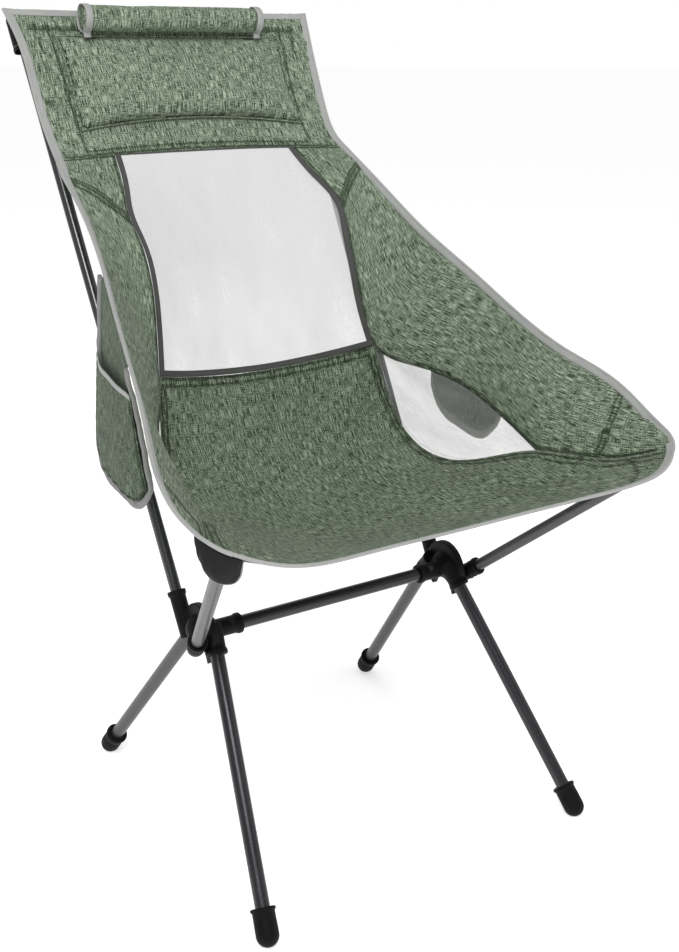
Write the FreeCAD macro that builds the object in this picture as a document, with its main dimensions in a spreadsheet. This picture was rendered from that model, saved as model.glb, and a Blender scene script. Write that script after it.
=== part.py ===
import FreeCAD, Part
import os
from math import cos, pi, sin

import Sketcher
from FreeCAD import Placement, Rotation, Vector

# Ultralight high-back camping chair, standing on its four feet.
# Frame: +Z up, the sitter faces -Y, +X is the sitter's left hand side.
# The origin is on the floor, under the middle of the chair's box.

doc = FreeCAD.newDocument("chair")

# ---------------------------------------------------------------- driving dimensions, in millimetres
DIMENSIONS = {
    # metal
    "leg_od": 17.0,
    "leg_bore": 15.0,
    "crossbar_od": 16.5,
    "crossbar_bore": 14.5,
    "front_pole_od": 15.0,
    "front_pole_bore": 13.0,
    "rear_pole_od": 14.0,
    "rear_pole_bore": 12.2,
    "ferrule_length": 60.0,
    "ferrule_gap": 0.05,
    "ferrule_wall": 1.15,
    "segment_gap": 0.4,
    "cord_dia": 3.0,
    # moulded hub
    "socket_wall": 2.8,
    "socket_rim": 1.5,
    "socket_rim_length": 6.0,
    "leg_play": 0.25,
    "pole_play": 0.05,
    "hub_core": 19.0,
    "web_radius": 37.0,
    "web_thickness": 9.0,
    "web_arch": 21.0,
    "rivet_shank": 4.0,
    "rivet_head": 8.0,
    "rivet_head_height": 1.6,
    "socket_end": 10.0,
    "web_x": 181.0,
    "web_back": 4.0,
    "web_drop": 3.0,
    "arch_back": 5.0,
    "arch_drop": 38.0,
    # feet and pole ends
    "foot_od": 26.0,
    "foot_barrel": 29.0,
    "foot_dome_inset": 5.0,
    "foot_rim": 1.4,
    "foot_rim_length": 4.0,
    "foot_slack": 10.0,
    "stop_length": 8.0,
    "stop_depth": 6.0,
    "stop_play": 0.05,
    "tip_length": 9.0,
    "tip_insert": 14.0,
    "tip_round": 6.0,
    # sling
    "panel_thickness": 1.4,
    "mesh_thickness": 1.0,
    "binding_width": 9.0,
    "binding_thickness": 3.2,
    "tape_width": 8.0,
    "tape_thickness": 1.0,
    "tape_gap": 0.1,
    "corner_pocket_wall": 1.6,
    "front_pocket_length": 62.0,
    "front_pocket_beyond": 14.0,
    "rear_pocket_length": 52.0,
    "rear_pocket_beyond": 11.0,
    "corner_pocket_play": 0.3,
    # pillow, rolled bag and its loops
    "pillow_half_width": 163.0,
    "pillow_depth": 34.0,
    "pillow_edge": 5.0,
    "pillow_gap": 1.6,
    "roll_dia": 32.0,
    "roll_length": 258.0,
    "roll_round": 6.0,
    "loop_wall": 1.4,
    "loop_width": 10.0,
    "loop_play": 0.4,
    "loop_spacing": 246.0,
    # side pockets
    "pocket_depth": 15.0,
    "pocket_wall": 1.2,
    "pocket_edge_thickness": 2.8,
    "pocket_sheet_gap": 1.0,
}
sheet = doc.addObject("Spreadsheet::Sheet", "Sheet")
for row, (alias, number) in enumerate(DIMENSIONS.items(), start=1):
    sheet.set(f"A{row}", alias)
    sheet.set(f"B{row}", str(number))
    sheet.setAlias(f"B{row}", alias)
doc.recompute()


def size(alias):
    """A dimension as it stands in the sheet."""
    return float(sheet.get(alias))


# ---------------------------------------------------------------- places, in millimetres
CROSSBAR_Y = -67.5        # the crossbar's axis, from the middle of the chair's depth
CROSSBAR_Z = 273.0


def at(x, y, z):
    """A point given sideways, behind the crossbar and above the floor."""
    return Vector(x, y + CROSSBAR_Y, z)


def mirrored(point, side):
    """The point on the sitter's left (+1) or right (-1) side."""
    return Vector(point.x * side, point.y, point.z)


# each member of one side of the frame: where it leaves its socket, its far end, and how deep it is plugged
CROSSBAR_MOUTH = at(132, 0, CROSSBAR_Z)
CROSSBAR_END = at(166, 0, CROSSBAR_Z)
MEMBERS = {
    "front_leg": {"mouth": at(179, -30.8, 256), "end": at(225.3, -224.5, 7.6), "depth": 24.0},
    "rear_leg": {"mouth": at(175.3, 41.6, 256), "end": at(214.3, 241.2, 7.9), "depth": 16.0},
    "front_pole": {"mouth": at(205.5, -35, 282), "end": at(285.7, -257.2, 474.9), "depth": 30.0},
    "rear_pole": {"mouth": at(187, 58, 306), "end": at(200, 433, 954), "depth": 24.0},
}
HUB_CENTRE = at(181, 4, 276)
SIDES = {"left": 1, "right": -1}

# guide curves of the sling's left half, from the top edge down and forward to the front corner
EDGE_HEAD = [at(220, 423, 969), at(212, 393, 926), at(209, 356, 855), at(208, 318, 806), at(210, 297, 793)]
EDGE_SHOULDER = [at(210, 297, 793), at(212, 284, 785), at(214, 271, 777)]
EDGE_WING = [
    at(214, 271, 777), at(218, 205, 741), at(228, 134, 698), at(247, 53, 652), at(264, -23, 608),
    at(283, -94, 573), at(304, -162, 545), at(308, -200, 524), at(302, -248, 506),
]
EDGE_CORNER = [at(302, -248, 506), at(297, -260, 502), at(289, -271, 497)]
EDGE_FRONT = [
    at(0, -254, 451), at(80, -261, 455), at(160, -281, 465), at(215, -300, 477), at(245, -298, 483),
    at(270, -286, 490), at(289, -271, 497),
]
WINDOW_SIDE = [
    at(130, 308, 796), at(141, 259, 760), at(152, 219, 729), at(148, 197, 700), at(146, 177, 655),
    at(150, 161, 596), at(157, 145, 548),
]
SHOULDER_SEAM = [at(214, 271, 777), at(188, 249, 765), at(168, 233, 748), at(152, 219, 729)]
MESH_TOP = [at(157, 145, 548), at(190, 73, 526), at(216, 24, 510), at(231, -30, 484), at(230, -106, 456)]
MESH_BOTTOM = [at(157, 145, 548), at(170, 118, 470), at(179, 88, 432), at(192, 10, 418), at(230, -106, 456)]
CORNER_SEAM = [at(230, -106, 456), at(262, -192, 465), at(289, -271, 497)]
CENTRE_HEAD = [at(0, 428, 968), at(0, 380, 884), at(0, 320, 797)]
CENTRE_WINDOW = [at(0, 320, 797), at(0, 246, 660), at(0, 174, 528)]
CENTRE_SEAT = [
    at(0, 174, 528), at(0, 138, 458), at(0, 84, 405), at(0, 10, 383), at(0, -80, 388),
    at(0, -175, 416), at(0, -254, 451),
]
HEAD_STATIONS = 7
WING_STATIONS = 15
WINDOW_STATIONS = 9
SEAT_STATIONS = 13
MESH_STATIONS = 9
ACROSS = 9
SEAT_ACROSS = 13

# side pocket: the line it hangs from, just under the binding, and its lower edge, both from rear to front
POCKET_HANGER = [at(233, 123, 683), at(249, 52, 645), at(266, -20, 602)]
POCKET_HEM = [at(245, 131, 482), at(246, 112, 452), at(245, 66, 438), at(244, 16, 436), at(242, -16, 467)]
MOUTH_REAR = 0.42          # shares of the pocket's height above its open mouth
MOUTH_FRONT = 0.18
PILLOW_TOP = 0.185         # shares of the headrest's height, from its top edge
PILLOW_BOTTOM = 0.80
ROLL_CENTRE = at(0, 395.4, 959)


# ---------------------------------------------------------------- building blocks
parts = []


def kept(obj, label):
    """Marks an object as a finished sub-part, whose label is its node's name."""
    obj.Label = label
    parts.append(obj)
    return obj


def along(start, direction):
    """The placement that stands on start and looks along direction."""
    return Placement(start, Rotation(Vector(0, 0, 1), direction))


def cylinder(radius, height, place):
    obj = doc.addObject("Part::Cylinder", "cylinder")
    obj.setExpression("Radius", radius)
    obj.setExpression("Height", height)
    obj.Placement = place
    return obj


def sphere(radius, centre):
    obj = doc.addObject("Part::Sphere", "sphere")
    obj.setExpression("Radius", radius)
    obj.Placement = Placement(centre, Rotation())
    return obj


def fused(pieces):
    obj = doc.addObject("Part::MultiFuse", "fuse")
    obj.Shapes = pieces
    return obj


def without(base, tools):
    obj = doc.addObject("Part::Cut", "cut")
    obj.Base = base
    obj.Tool = tools[0] if len(tools) == 1 else fused(tools)
    return obj


def grouped(pieces):
    """Separate solids that share one node."""
    obj = doc.addObject("Part::Compound", "group")
    obj.Links = pieces
    return obj


def origin_plane(body, role):
    return next(plane for plane in body.Origin.OriginFeatures if plane.Role == role)


def ring_sketch(body, outer, inner):
    """Two circles about the body's axis, their radii bound to the sheet; no inner makes a disc."""
    sketch = body.newObject("Sketcher::SketchObject", "profile")
    sketch.AttachmentSupport = [(origin_plane(body, "XY_Plane"), "")]
    sketch.MapMode = "FlatFace"
    for index, radius in enumerate(r for r in (outer, inner) if r):
        sketch.addGeometry(Part.Circle(Vector(), Vector(0, 0, 1), 10.0 - 2 * index), False)
        sketch.addConstraint(Sketcher.Constraint("Coincident", index, 3, -1, 1))
        bound = sketch.addConstraint(Sketcher.Constraint("Radius", index, 10.0 - 2 * index))
        sketch.setExpression(f"Constraints[{bound}]", radius)
    return sketch


def round_body(outer, inner, length, place):
    """A straight tube or rod as a padded sketch."""
    body = doc.addObject("PartDesign::Body", "tube")
    pad = body.newObject("PartDesign::Pad", "pad")
    pad.Profile = ring_sketch(body, outer, inner)
    pad.Length = length
    body.Placement = place
    return body


def direction_of(name, side):
    member = MEMBERS[name]
    return (mirrored(member["end"], side) - mirrored(member["mouth"], side)).normalize()


def plugged_start(name, side):
    """The end of a tube inside its socket."""
    member = MEMBERS[name]
    return mirrored(member["mouth"], side) - direction_of(name, side) * member["depth"]


def plugged_length(name):
    member = MEMBERS[name]
    return (member["end"] - member["mouth"]).Length + member["depth"]


# ---------------------------------------------------------------- curved fabric
def through(points):
    """A smooth curve through points."""
    curve = Part.BSplineCurve()
    curve.interpolate(points)
    return curve.toShape()


def stations(points, count, start=0.0, stop=1.0):
    """Points spaced evenly along the curve, between two shares of its length."""
    edge = through(points)
    found = []
    for index in range(count):
        share = start + (stop - start) * index / (count - 1)
        found.append(edge.valueAt(edge.getParameterByLength(edge.Length * share)))
    return found


def joined(*curves):
    """Guide curves one after the other, each shared end once."""
    points = list(curves[0])
    for curve in curves[1:]:
        points += curve[1:]
    return points


def across(edge, centre, side_count=ACROSS):
    """A row from the right edge through the centre to the left edge, sagging between them."""
    row = []
    for index in range(side_count):
        share = 2.0 * index / (side_count - 1) - 1.0
        point = centre + (edge - centre) * share ** 2
        point.x = edge.x * share
        row.append(point)
    return row


def between(first, second, count=4, sag=Vector()):
    """A row from one seam to the next, bulging by sag in its middle."""
    row = []
    for index in range(count):
        share = index / (count - 1)
        row.append(first + (second - first) * share + sag * (4 * share * (1 - share)))
    return row


def patch(top, bottom, outer, inner):
    """A grid stretched between four curves that meet at their ends."""
    grid = []
    for i in range(len(outer)):
        down = i / (len(outer) - 1)
        row = []
        for j in range(len(top)):
            over = j / (len(top) - 1)
            corners = (top[0] * (1 - over) + top[-1] * over) * (1 - down)
            corners += (bottom[0] * (1 - over) + bottom[-1] * over) * down
            lengthwise = top[j] * (1 - down) + bottom[j] * down
            crosswise = outer[i] * (1 - over) + inner[i] * over
            row.append(lengthwise + crosswise - corners)
        grid.append(row)
    return grid


def normals(grid):
    """Unit normals at the points of a grid."""
    rows = []
    last_row = len(grid) - 1
    last_column = len(grid[0]) - 1
    for i in range(last_row + 1):
        row = []
        for j in range(last_column + 1):
            down = grid[min(i + 1, last_row)][j] - grid[max(i - 1, 0)][j]
            over = grid[i][min(j + 1, last_column)] - grid[i][max(j - 1, 0)]
            row.append(down.cross(over).normalize())
        rows.append(row)
    return rows


def surface(grid):
    found = Part.BSplineSurface()
    found.interpolate(grid)
    return found


def edges_of(face_surface):
    u0, u1, v0, v1 = face_surface.bounds()
    return [
        face_surface.uIso(u0).toShape(),
        face_surface.uIso(u1).toShape(),
        face_surface.vIso(v0).toShape(),
        face_surface.vIso(v1).toShape(),
    ]


def slab(front_grid, back_grid):
    """A closed solid between two grids of points."""
    front = surface(front_grid)
    back = surface(back_grid)
    faces = [front.toShape(), back.toShape()]
    for front_edge, back_edge in zip(edges_of(front), edges_of(back)):
        faces.append(Part.makeRuledSurface(front_edge, back_edge))
    shell = Part.makeShell(faces)
    shell.sewShape()
    solid = Part.makeSolid(shell.Shells[0] if shell.ShapeType != "Shell" else shell)
    if solid.Volume < 0:
        solid.reverse()
    return solid


def sheet_solid(grid, thickness):
    """Cloth of a real thickness, half of it on each side of the grid."""
    facing = normals(grid)
    half = thickness / 2
    front = [[p + n * half for p, n in zip(row, facings)] for row, facings in zip(grid, facing)]
    back = [[p - n * half for p, n in zip(row, facings)] for row, facings in zip(grid, facing)]
    return slab(front, back)


def flipped(grid, side):
    """The same grid on the other side of the chair."""
    return [[mirrored(point, side) for point in row] for row in grid]


def cloth(label, *solids):
    """A sewn piece, which only free-form surfaces can hold."""
    obj = doc.addObject("Part::Feature", label)
    obj.Shape = solids[0] if len(solids) == 1 else Part.makeCompound(list(solids))
    return kept(obj, label)


def inset(outer, inner, width):
    """Points moved from outer towards inner by width."""
    return [p + (q - p).normalize() * width for p, q in zip(outer, inner)]


# ---------------------------------------------------------------- frame: crossbar, legs, poles
RIVET_X = 147.0
RIVET_AXIS = Vector(0, cos(pi / 4), -sin(pi / 4))
RIVET_REACH = size("crossbar_od") / 2 + size("pole_play") + size("socket_wall")


def rivet_shank(side):
    """The pin that locks the crossbar in a hub, from face to face of its socket."""
    start = Vector(side * RIVET_X, CROSSBAR_Y, CROSSBAR_Z) - RIVET_AXIS * RIVET_REACH
    return cylinder("Sheet.rivet_shank / 2", f"{2 * RIVET_REACH}", along(start, RIVET_AXIS))


def build_crossbar():
    length = 2 * CROSSBAR_END.x
    start = Vector(-CROSSBAR_END.x, CROSSBAR_END.y, CROSSBAR_END.z)
    place = along(start, Vector(1, 0, 0))
    tube = round_body("Sheet.crossbar_od / 2", "Sheet.crossbar_bore / 2", length, place)
    kept(without(tube, [rivet_shank(1), rivet_shank(-1)]), "crossbar_tube")


def foot_cap(name, side):
    """A rubber cup over the leg's end, with a domed bottom worn flat where it stands."""
    axis = direction_of(name, side)
    bottom = mirrored(MEMBERS[name]["end"], side)
    dome_centre = bottom - axis * size("foot_dome_inset")
    top = dome_centre - axis * size("foot_barrel")
    barrel = cylinder("Sheet.foot_od / 2", "Sheet.foot_barrel", along(top, axis))
    dome = sphere("Sheet.foot_od / 2", dome_centre)
    collar = cylinder("Sheet.foot_od / 2 + Sheet.foot_rim", "Sheet.foot_rim_length", along(top, axis))
    bore_length = size("foot_barrel") + size("foot_slack")
    bore = cylinder("Sheet.leg_od / 2", f"{bore_length}", along(bottom - axis * bore_length, axis))
    reach = 3 * size("foot_od")
    floor = doc.addObject("Part::Box", "floor")
    floor.Length = reach
    floor.Width = reach
    floor.Height = reach
    floor.Placement = Placement(Vector(bottom.x - reach / 2, bottom.y - reach / 2, -reach), Rotation())
    return without(fused([barrel, dome, collar]), [bore, floor])


def build_legs():
    for name in ("front_leg", "rear_leg"):
        for hand, side in SIDES.items():
            axis = direction_of(name, side)
            start = plugged_start(name, side)
            length = plugged_length(name)
            tube = round_body("Sheet.leg_od / 2", "Sheet.leg_bore / 2", length, along(start, axis))
            kept(tube, f"{name}_tube_{hand}")
            kept(foot_cap(name, side), f"{name}_foot_{hand}")
            stop_start = start + axis * (length - size("stop_length") - size("stop_depth"))
            stop_place = along(stop_start, axis)
            stop = round_body("Sheet.leg_bore / 2 - Sheet.stop_play", None, size("stop_length"), stop_place)
            kept(stop, f"{name}_cord_stop_{hand}")
            cord_length = (stop_start - start).Length
            cord = round_body("Sheet.cord_dia / 2", None, cord_length, along(start, axis))
            kept(cord, f"{name}_cord_{hand}")


def pole_tip(od, bore, end, axis):
    """A plug with a rounded head in the open end of a pole."""
    stem_place = along(end - axis * size("tip_insert"), axis)
    stem = cylinder(f"Sheet.{bore} / 2", "Sheet.tip_insert + 1", stem_place)
    head = cylinder(f"Sheet.{od} / 2", "Sheet.tip_length - Sheet.tip_round + 2", along(end, axis))
    cap = sphere(f"Sheet.{od} / 2", end + axis * (size("tip_length") - size("tip_round")))
    return fused([stem, head, cap])


def build_front_poles():
    cords = []
    for hand, side in SIDES.items():
        axis = direction_of("front_pole", side)
        start = plugged_start("front_pole", side)
        length = plugged_length("front_pole")
        place = along(start, axis)
        tube = round_body("Sheet.front_pole_od / 2", "Sheet.front_pole_bore / 2", length, place)
        kept(tube, f"front_upper_pole_{hand}")
        end = start + axis * length
        kept(pole_tip("front_pole_od", "front_pole_bore", end, axis), f"front_pole_tip_{hand}")
        cords.append(round_body("Sheet.cord_dia / 2", None, length - size("tip_insert"), place))
    return cords


REAR_POLE_CUTS = (0.365, 0.705)   # shares of the rear pole at which its three lengths meet


def build_rear_poles():
    ferrules = []
    cords = []
    for hand, side in SIDES.items():
        axis = direction_of("rear_pole", side)
        start = plugged_start("rear_pole", side)
        total = plugged_length("rear_pole")
        joints = [0.0] + [share * total for share in REAR_POLE_CUTS] + [total]
        for index, segment in enumerate(("lower", "middle", "upper")):
            gap = size("segment_gap") if index < 2 else 0.0
            length = joints[index + 1] - joints[index] - gap
            place = along(start + axis * joints[index], axis)
            tube = round_body("Sheet.rear_pole_od / 2", "Sheet.rear_pole_bore / 2", length, place)
            kept(tube, f"rear_pole_{segment}_{hand}")
        for joint in joints[1:3]:
            place = along(start + axis * (joint - size("ferrule_length") / 2), axis)
            outer = "Sheet.rear_pole_bore / 2 - Sheet.ferrule_gap"
            inner = f"{outer} - Sheet.ferrule_wall"
            ferrules.append(round_body(outer, inner, size("ferrule_length"), place))
        end = start + axis * total
        kept(pole_tip("rear_pole_od", "rear_pole_bore", end, axis), f"rear_pole_tip_{hand}")
        cord_place = along(start, axis)
        cords.append(round_body("Sheet.cord_dia / 2", None, total - size("tip_insert"), cord_place))
    kept(grouped(ferrules), "rear_pole_ferrules")
    return cords


# ---------------------------------------------------------------- moulded hubs
SOLID_BELOW = {"front_leg": 12, "rear_leg": 16, "front_pole": 6, "rear_pole": 34, "crossbar": 5}
HOLE_OVERRUN = 20         # how far a hole's tool stands out of its mouth


def socket_radius(bore, play):
    return f"Sheet.{bore} / 2 + Sheet.{play}"


def socket_of(mouth, axis, depth, root, bore, play):
    """A sleeve with a rim round a plugged tube, solid below it for root; and the tube's hole."""
    radius = socket_radius(bore, play)
    length = depth + root
    sleeve = cylinder(f"{radius} + Sheet.socket_wall", f"{length}", along(mouth - axis * length, axis))
    rim_place = along(mouth - axis * size("socket_rim_length"), axis)
    rim = cylinder(f"{radius} + Sheet.socket_wall + Sheet.socket_rim", "Sheet.socket_rim_length", rim_place)
    hole = cylinder(radius, f"{depth + HOLE_OVERRUN}", along(mouth - axis * depth, axis))
    return [sleeve, rim], hole


def hub(side):
    """One moulded hub: a core and an arched web that tie five sockets together."""
    solids = [sphere("Sheet.hub_core", mirrored(HUB_CENTRE, side))]
    holes = []
    for name, bore, play in (
        ("front_leg", "leg_od", "leg_play"),
        ("rear_leg", "leg_od", "leg_play"),
        ("front_pole", "front_pole_od", "pole_play"),
        ("rear_pole", "rear_pole_od", "pole_play"),
    ):
        member = MEMBERS[name]
        mouth = mirrored(member["mouth"], side)
        axis = direction_of(name, side)
        pieces, hole = socket_of(mouth, axis, member["depth"], SOLID_BELOW[name], bore, play)
        solids += pieces
        holes.append(hole)
        if name == "front_pole":
            solids.append(sphere("Sheet.socket_end", mouth - axis * (member["depth"] + 4)))
    inward = Vector(-side, 0, 0)
    bar_depth = CROSSBAR_END.x - CROSSBAR_MOUTH.x
    bar_mouth = mirrored(CROSSBAR_MOUTH, side)
    below = SOLID_BELOW["crossbar"]
    pieces, hole = socket_of(bar_mouth, inward, bar_depth, below, "crossbar_od", "pole_play")
    solids += pieces
    holes.append(hole)
    middle = side * size("web_x")
    outward = Vector(1, 0, 0)
    web_y = CROSSBAR_Y + size("web_back")
    web_start = Vector(middle - size("web_thickness") / 2, web_y, CROSSBAR_Z - size("web_drop"))
    disc = cylinder("Sheet.web_radius", "Sheet.web_thickness", along(web_start, outward))
    arch_y = CROSSBAR_Y + size("arch_back")
    arch_start = Vector(middle - size("web_radius"), arch_y, CROSSBAR_Z - size("arch_drop"))
    arch = cylinder("Sheet.web_arch", "2 * Sheet.web_radius", along(arch_start, outward))
    web = without(disc, [arch])
    return without(fused(solids + [web]), holes)


def rivet(side):
    """A shank with a low round head at each end."""
    centre = Vector(side * RIVET_X, CROSSBAR_Y, CROSSBAR_Z)
    height = size("rivet_head_height")
    near = along(centre - RIVET_AXIS * (RIVET_REACH + height), RIVET_AXIS)
    far = along(centre + RIVET_AXIS * RIVET_REACH, RIVET_AXIS)
    heads = [cylinder("Sheet.rivet_head / 2", "Sheet.rivet_head_height", place) for place in (near, far)]
    return fused([rivet_shank(side)] + heads)


def build_hubs():
    for hand, side in SIDES.items():
        kept(without(hub(side), [rivet_shank(side)]), f"hub_{hand}")
    kept(grouped([rivet(side) for side in SIDES.values()]), "crossbar_rivets")


build_crossbar()
build_legs()
front_cords = build_front_poles()
rear_cords = build_rear_poles()
build_hubs()
kept(grouped(front_cords + rear_cords), "pole_cords")


# ---------------------------------------------------------------- sling panels
def shifted(grid, distance):
    """The grid moved along its own normals."""
    return [[p + n * distance for p, n in zip(row, facings)] for row, facings in zip(grid, normals(grid))]


def trimmed_row(row, towards, width):
    """A row moved by width towards the next one."""
    return [p + (q - p).normalize() * width for p, q in zip(row, towards)]


def build_head_and_edges(width):
    """Headrest panel with the binding along its top; returns the ends of its rows at the side binding."""
    edge = stations(EDGE_HEAD, HEAD_STATIONS)
    centre = stations(CENTRE_HEAD, HEAD_STATIONS)
    inner = [Vector(p.x - width, p.y, p.z) for p in edge]
    grid = [across(p, q) for p, q in zip(inner, centre)]
    below_binding = trimmed_row(grid[0], grid[1], width)
    band = [grid[0], between_rows(grid[0], below_binding), below_binding]
    cloth("top_binding", sheet_solid(band, size("binding_thickness")))
    grid[0] = below_binding
    cloth("headrest_panel", sheet_solid(grid, size("panel_thickness")))
    return inner


WING_BELLY = Vector(-7, 3, -5) / 110     # how far a wing hangs inwards, for each millimetre of its width
NET_BELLY = Vector(3, 0, 0)
NET_SPAN = (0.03, 0.98)                  # the net starts and ends this share along its seams
BAND_CORNER = [at(296, -243, 501), at(286, -263, 494)]     # inner edge of the side binding at the corner
FRONT_ROWS = 4                           # rows of the seat over which its front edge takes its own curve


def between_rows(first, second):
    """The row half way between two rows."""
    return [(p + q) * 0.5 for p, q in zip(first, second)]


def build_window():
    """The net of the back, and the tape sewn over its sides and lower edge."""
    edge = stations(WINDOW_SIDE, WINDOW_STATIONS)
    centre = stations(CENTRE_WINDOW, WINDOW_STATIONS)
    grid = [across(p, q) for p, q in zip(edge, centre)]
    cloth("mesh_window_panel", sheet_solid(grid, size("mesh_thickness")))
    lift = (size("mesh_thickness") + size("tape_thickness")) / 2 + size("tape_gap")
    width = size("tape_width")
    tapes = []
    for side in SIDES.values():
        inner = inset(edge, centre, width)
        strip = [between(p, q, 3) for p, q in zip(edge, inner)]
        strip = strip[:-1] + [trimmed_row(strip[-1], strip[-2], width)]
        tapes.append(sheet_solid(flipped(shifted(strip, -lift), side), size("tape_thickness")))
    upper = trimmed_row(grid[-1], grid[-2], width)
    foot = [grid[-1], between_rows(grid[-1], upper), upper]
    tapes.append(sheet_solid(shifted(foot, -lift), size("tape_thickness")))
    cloth("window_tape", *tapes)


def front_row(count):
    """Points of the seat's front edge, evenly spaced sideways from the right corner to the left."""
    half = through([Vector(-p.x, p.y, p.z) for p in EDGE_FRONT[:0:-1]] + EDGE_FRONT)
    fine = [half.valueAt(half.getParameterByLength(half.Length * i / 400)) for i in range(401)]
    reach = EDGE_FRONT[-1].x
    wanted = [reach * (2 * i / (count - 1) - 1) for i in range(count)]
    return [Vector(x, near.y, near.z) for x in wanted for near in [min(fine, key=lambda p: abs(p.x - x))]]


def build_seat(width):
    """Seat panel and the binding along its front edge."""
    edge = stations(joined(MESH_BOTTOM, CORNER_SEAM), SEAT_STATIONS)
    centre = stations(CENTRE_SEAT, SEAT_STATIONS)
    grid = [across(p, q, SEAT_ACROSS) for p, q in zip(edge, centre)]
    own_curve = [q - p for p, q in zip(grid[-1], front_row(SEAT_ACROSS))]
    for step in range(1, FRONT_ROWS + 1):
        row = step - FRONT_ROWS - 1
        grid[row] = [p + shift * (step / FRONT_ROWS) ** 2 for p, shift in zip(grid[row], own_curve)]
    front = grid[-1]
    behind_binding = trimmed_row(front, grid[-2], width)
    grid[-1] = behind_binding
    cloth("seat_panel", sheet_solid(grid, size("panel_thickness")))
    band = [behind_binding, between_rows(behind_binding, front), front]
    cloth("front_binding", sheet_solid(band, size("binding_thickness")))


def build_sides(head_inner, width):
    """Wing, shoulder, side net and side binding of each side."""
    edge = stations(EDGE_WING, WING_STATIONS)
    seam = stations(joined(WINDOW_SIDE[2:], MESH_TOP, CORNER_SEAM), WING_STATIONS)
    inner = inset(edge, seam, width)
    shoulder_seam = [inner[0]] + SHOULDER_SEAM[1:]
    wing = [stations(shoulder_seam, 4)]
    for p, q in list(zip(inner, seam))[1:]:
        belly = WING_BELLY * (q - p).Length
        wing.append(between(p, q, 4, belly))
    shoulder_top = between(head_inner[-1], WINDOW_SIDE[0], 5)
    shoulder_outer = between(head_inner[-1], inner[0], 5)
    shoulder = patch(shoulder_top, stations(shoulder_seam, 5), shoulder_outer, stations(WINDOW_SIDE[:3], 5))
    net_top = stations(MESH_TOP, MESH_STATIONS, *NET_SPAN)
    net_bottom = stations(MESH_BOTTOM, MESH_STATIONS, *NET_SPAN)
    net = [between(p, q, 4, NET_BELLY) for p, q in zip(net_top, net_bottom)]
    outer_line = stations(joined(EDGE_HEAD, EDGE_SHOULDER, EDGE_WING, EDGE_CORNER), 31)
    inner_line = stations(head_inner[::3] + inner[:13:2] + BAND_CORNER, 31)
    band = [between(p, q, 3) for p, q in zip(outer_line, inner_line)]
    for hand, side in SIDES.items():
        cloth(f"wing_panel_{hand}", sheet_solid(flipped(wing, side), size("panel_thickness")))
        cloth(f"shoulder_panel_{hand}", sheet_solid(flipped(shoulder, side), size("panel_thickness")))
        cloth(f"side_mesh_{hand}", sheet_solid(flipped(net, side), size("mesh_thickness")))
        cloth(f"side_binding_{hand}", sheet_solid(flipped(band, side), size("binding_thickness")))


# ---------------------------------------------------------------- corner pockets that hold the pole ends
def build_corner_pockets():
    length = size("front_pocket_length")
    for hand, side in SIDES.items():
        axis = direction_of("front_pole", side)
        end = mirrored(MEMBERS["front_pole"]["end"], side)
        mouth = end - axis * (length - size("front_pocket_beyond"))
        sock = doc.addObject("Part::Cone", "cone")
        sock.setExpression("Radius1", "Sheet.front_pole_od / 2 + 3 * Sheet.corner_pocket_wall")
        sock.setExpression("Radius2", "Sheet.front_pole_od / 2 + 1.5 * Sheet.corner_pocket_wall")
        sock.setExpression("Height", "Sheet.front_pocket_length")
        sock.Placement = along(mouth, axis)
        bore = "Sheet.front_pole_od / 2 + Sheet.corner_pocket_play"
        hollow = cylinder(bore, "Sheet.front_pocket_length - Sheet.corner_pocket_wall", along(mouth, axis))
        kept(without(sock, [hollow]), f"front_corner_pocket_{hand}")
    length = size("rear_pocket_length")
    for hand, side in SIDES.items():
        axis = direction_of("rear_pole", side)
        end = mirrored(MEMBERS["rear_pole"]["end"], side)
        mouth = end - axis * (length - size("rear_pocket_beyond"))
        place = along(mouth, axis)
        sleeve = doc.addObject("Part::Box", "sleeve")
        sleeve.setExpression("Length", "Sheet.rear_pole_od + 9 * Sheet.corner_pocket_wall")
        sleeve.setExpression("Width", "Sheet.rear_pole_od + 2 * Sheet.corner_pocket_wall")
        sleeve.setExpression("Height", "Sheet.rear_pocket_length")
        half_length = size("rear_pole_od") / 2 + 4.5 * size("corner_pocket_wall")
        half_width = size("rear_pole_od") / 2 + size("corner_pocket_wall")
        sleeve.Placement = place * Placement(Vector(-half_length, -half_width, 0), Rotation())
        bore = "Sheet.rear_pole_od / 2 + Sheet.corner_pocket_play"
        hollow = cylinder(bore, "Sheet.rear_pocket_length - Sheet.corner_pocket_wall", place)
        kept(without(sleeve, [hollow]), f"rear_corner_pocket_{hand}")


# ---------------------------------------------------------------- pillow, rolled bag and its loops
def build_pillow():
    """A pad sewn to the headrest, thickest below its middle."""
    rows = 9
    columns = 13
    edge = stations(EDGE_HEAD, rows, PILLOW_TOP, PILLOW_BOTTOM)
    centre = stations(CENTRE_HEAD, rows, PILLOW_TOP, PILLOW_BOTTOM)
    forward = (CENTRE_HEAD[-1] - CENTRE_HEAD[0]).cross(Vector(1, 0, 0)).normalize()
    if forward.y > 0:
        forward = forward * -1
    back = []
    front = []
    for i in range(rows):
        down = i / (rows - 1)
        back_row = []
        front_row = []
        for j in range(columns):
            over = 2 * j / (columns - 1) - 1
            x = over * size("pillow_half_width")
            point = centre[i] + (edge[i] - centre[i]) * (x / edge[i].x) ** 2
            point.x = x
            swell = sin(pi * down ** 1.25) ** 0.6 * (1 - over ** 4) ** 0.6 if 0 < down < 1 else 0
            depth = size("pillow_edge") + (size("pillow_depth") - size("pillow_edge")) * swell
            back_row.append(point + forward * size("pillow_gap"))
            front_row.append(point + forward * (size("pillow_gap") + depth))
        back.append(back_row)
        front.append(front_row)
    cloth("headrest_pillow", slab(front, back))


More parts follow.
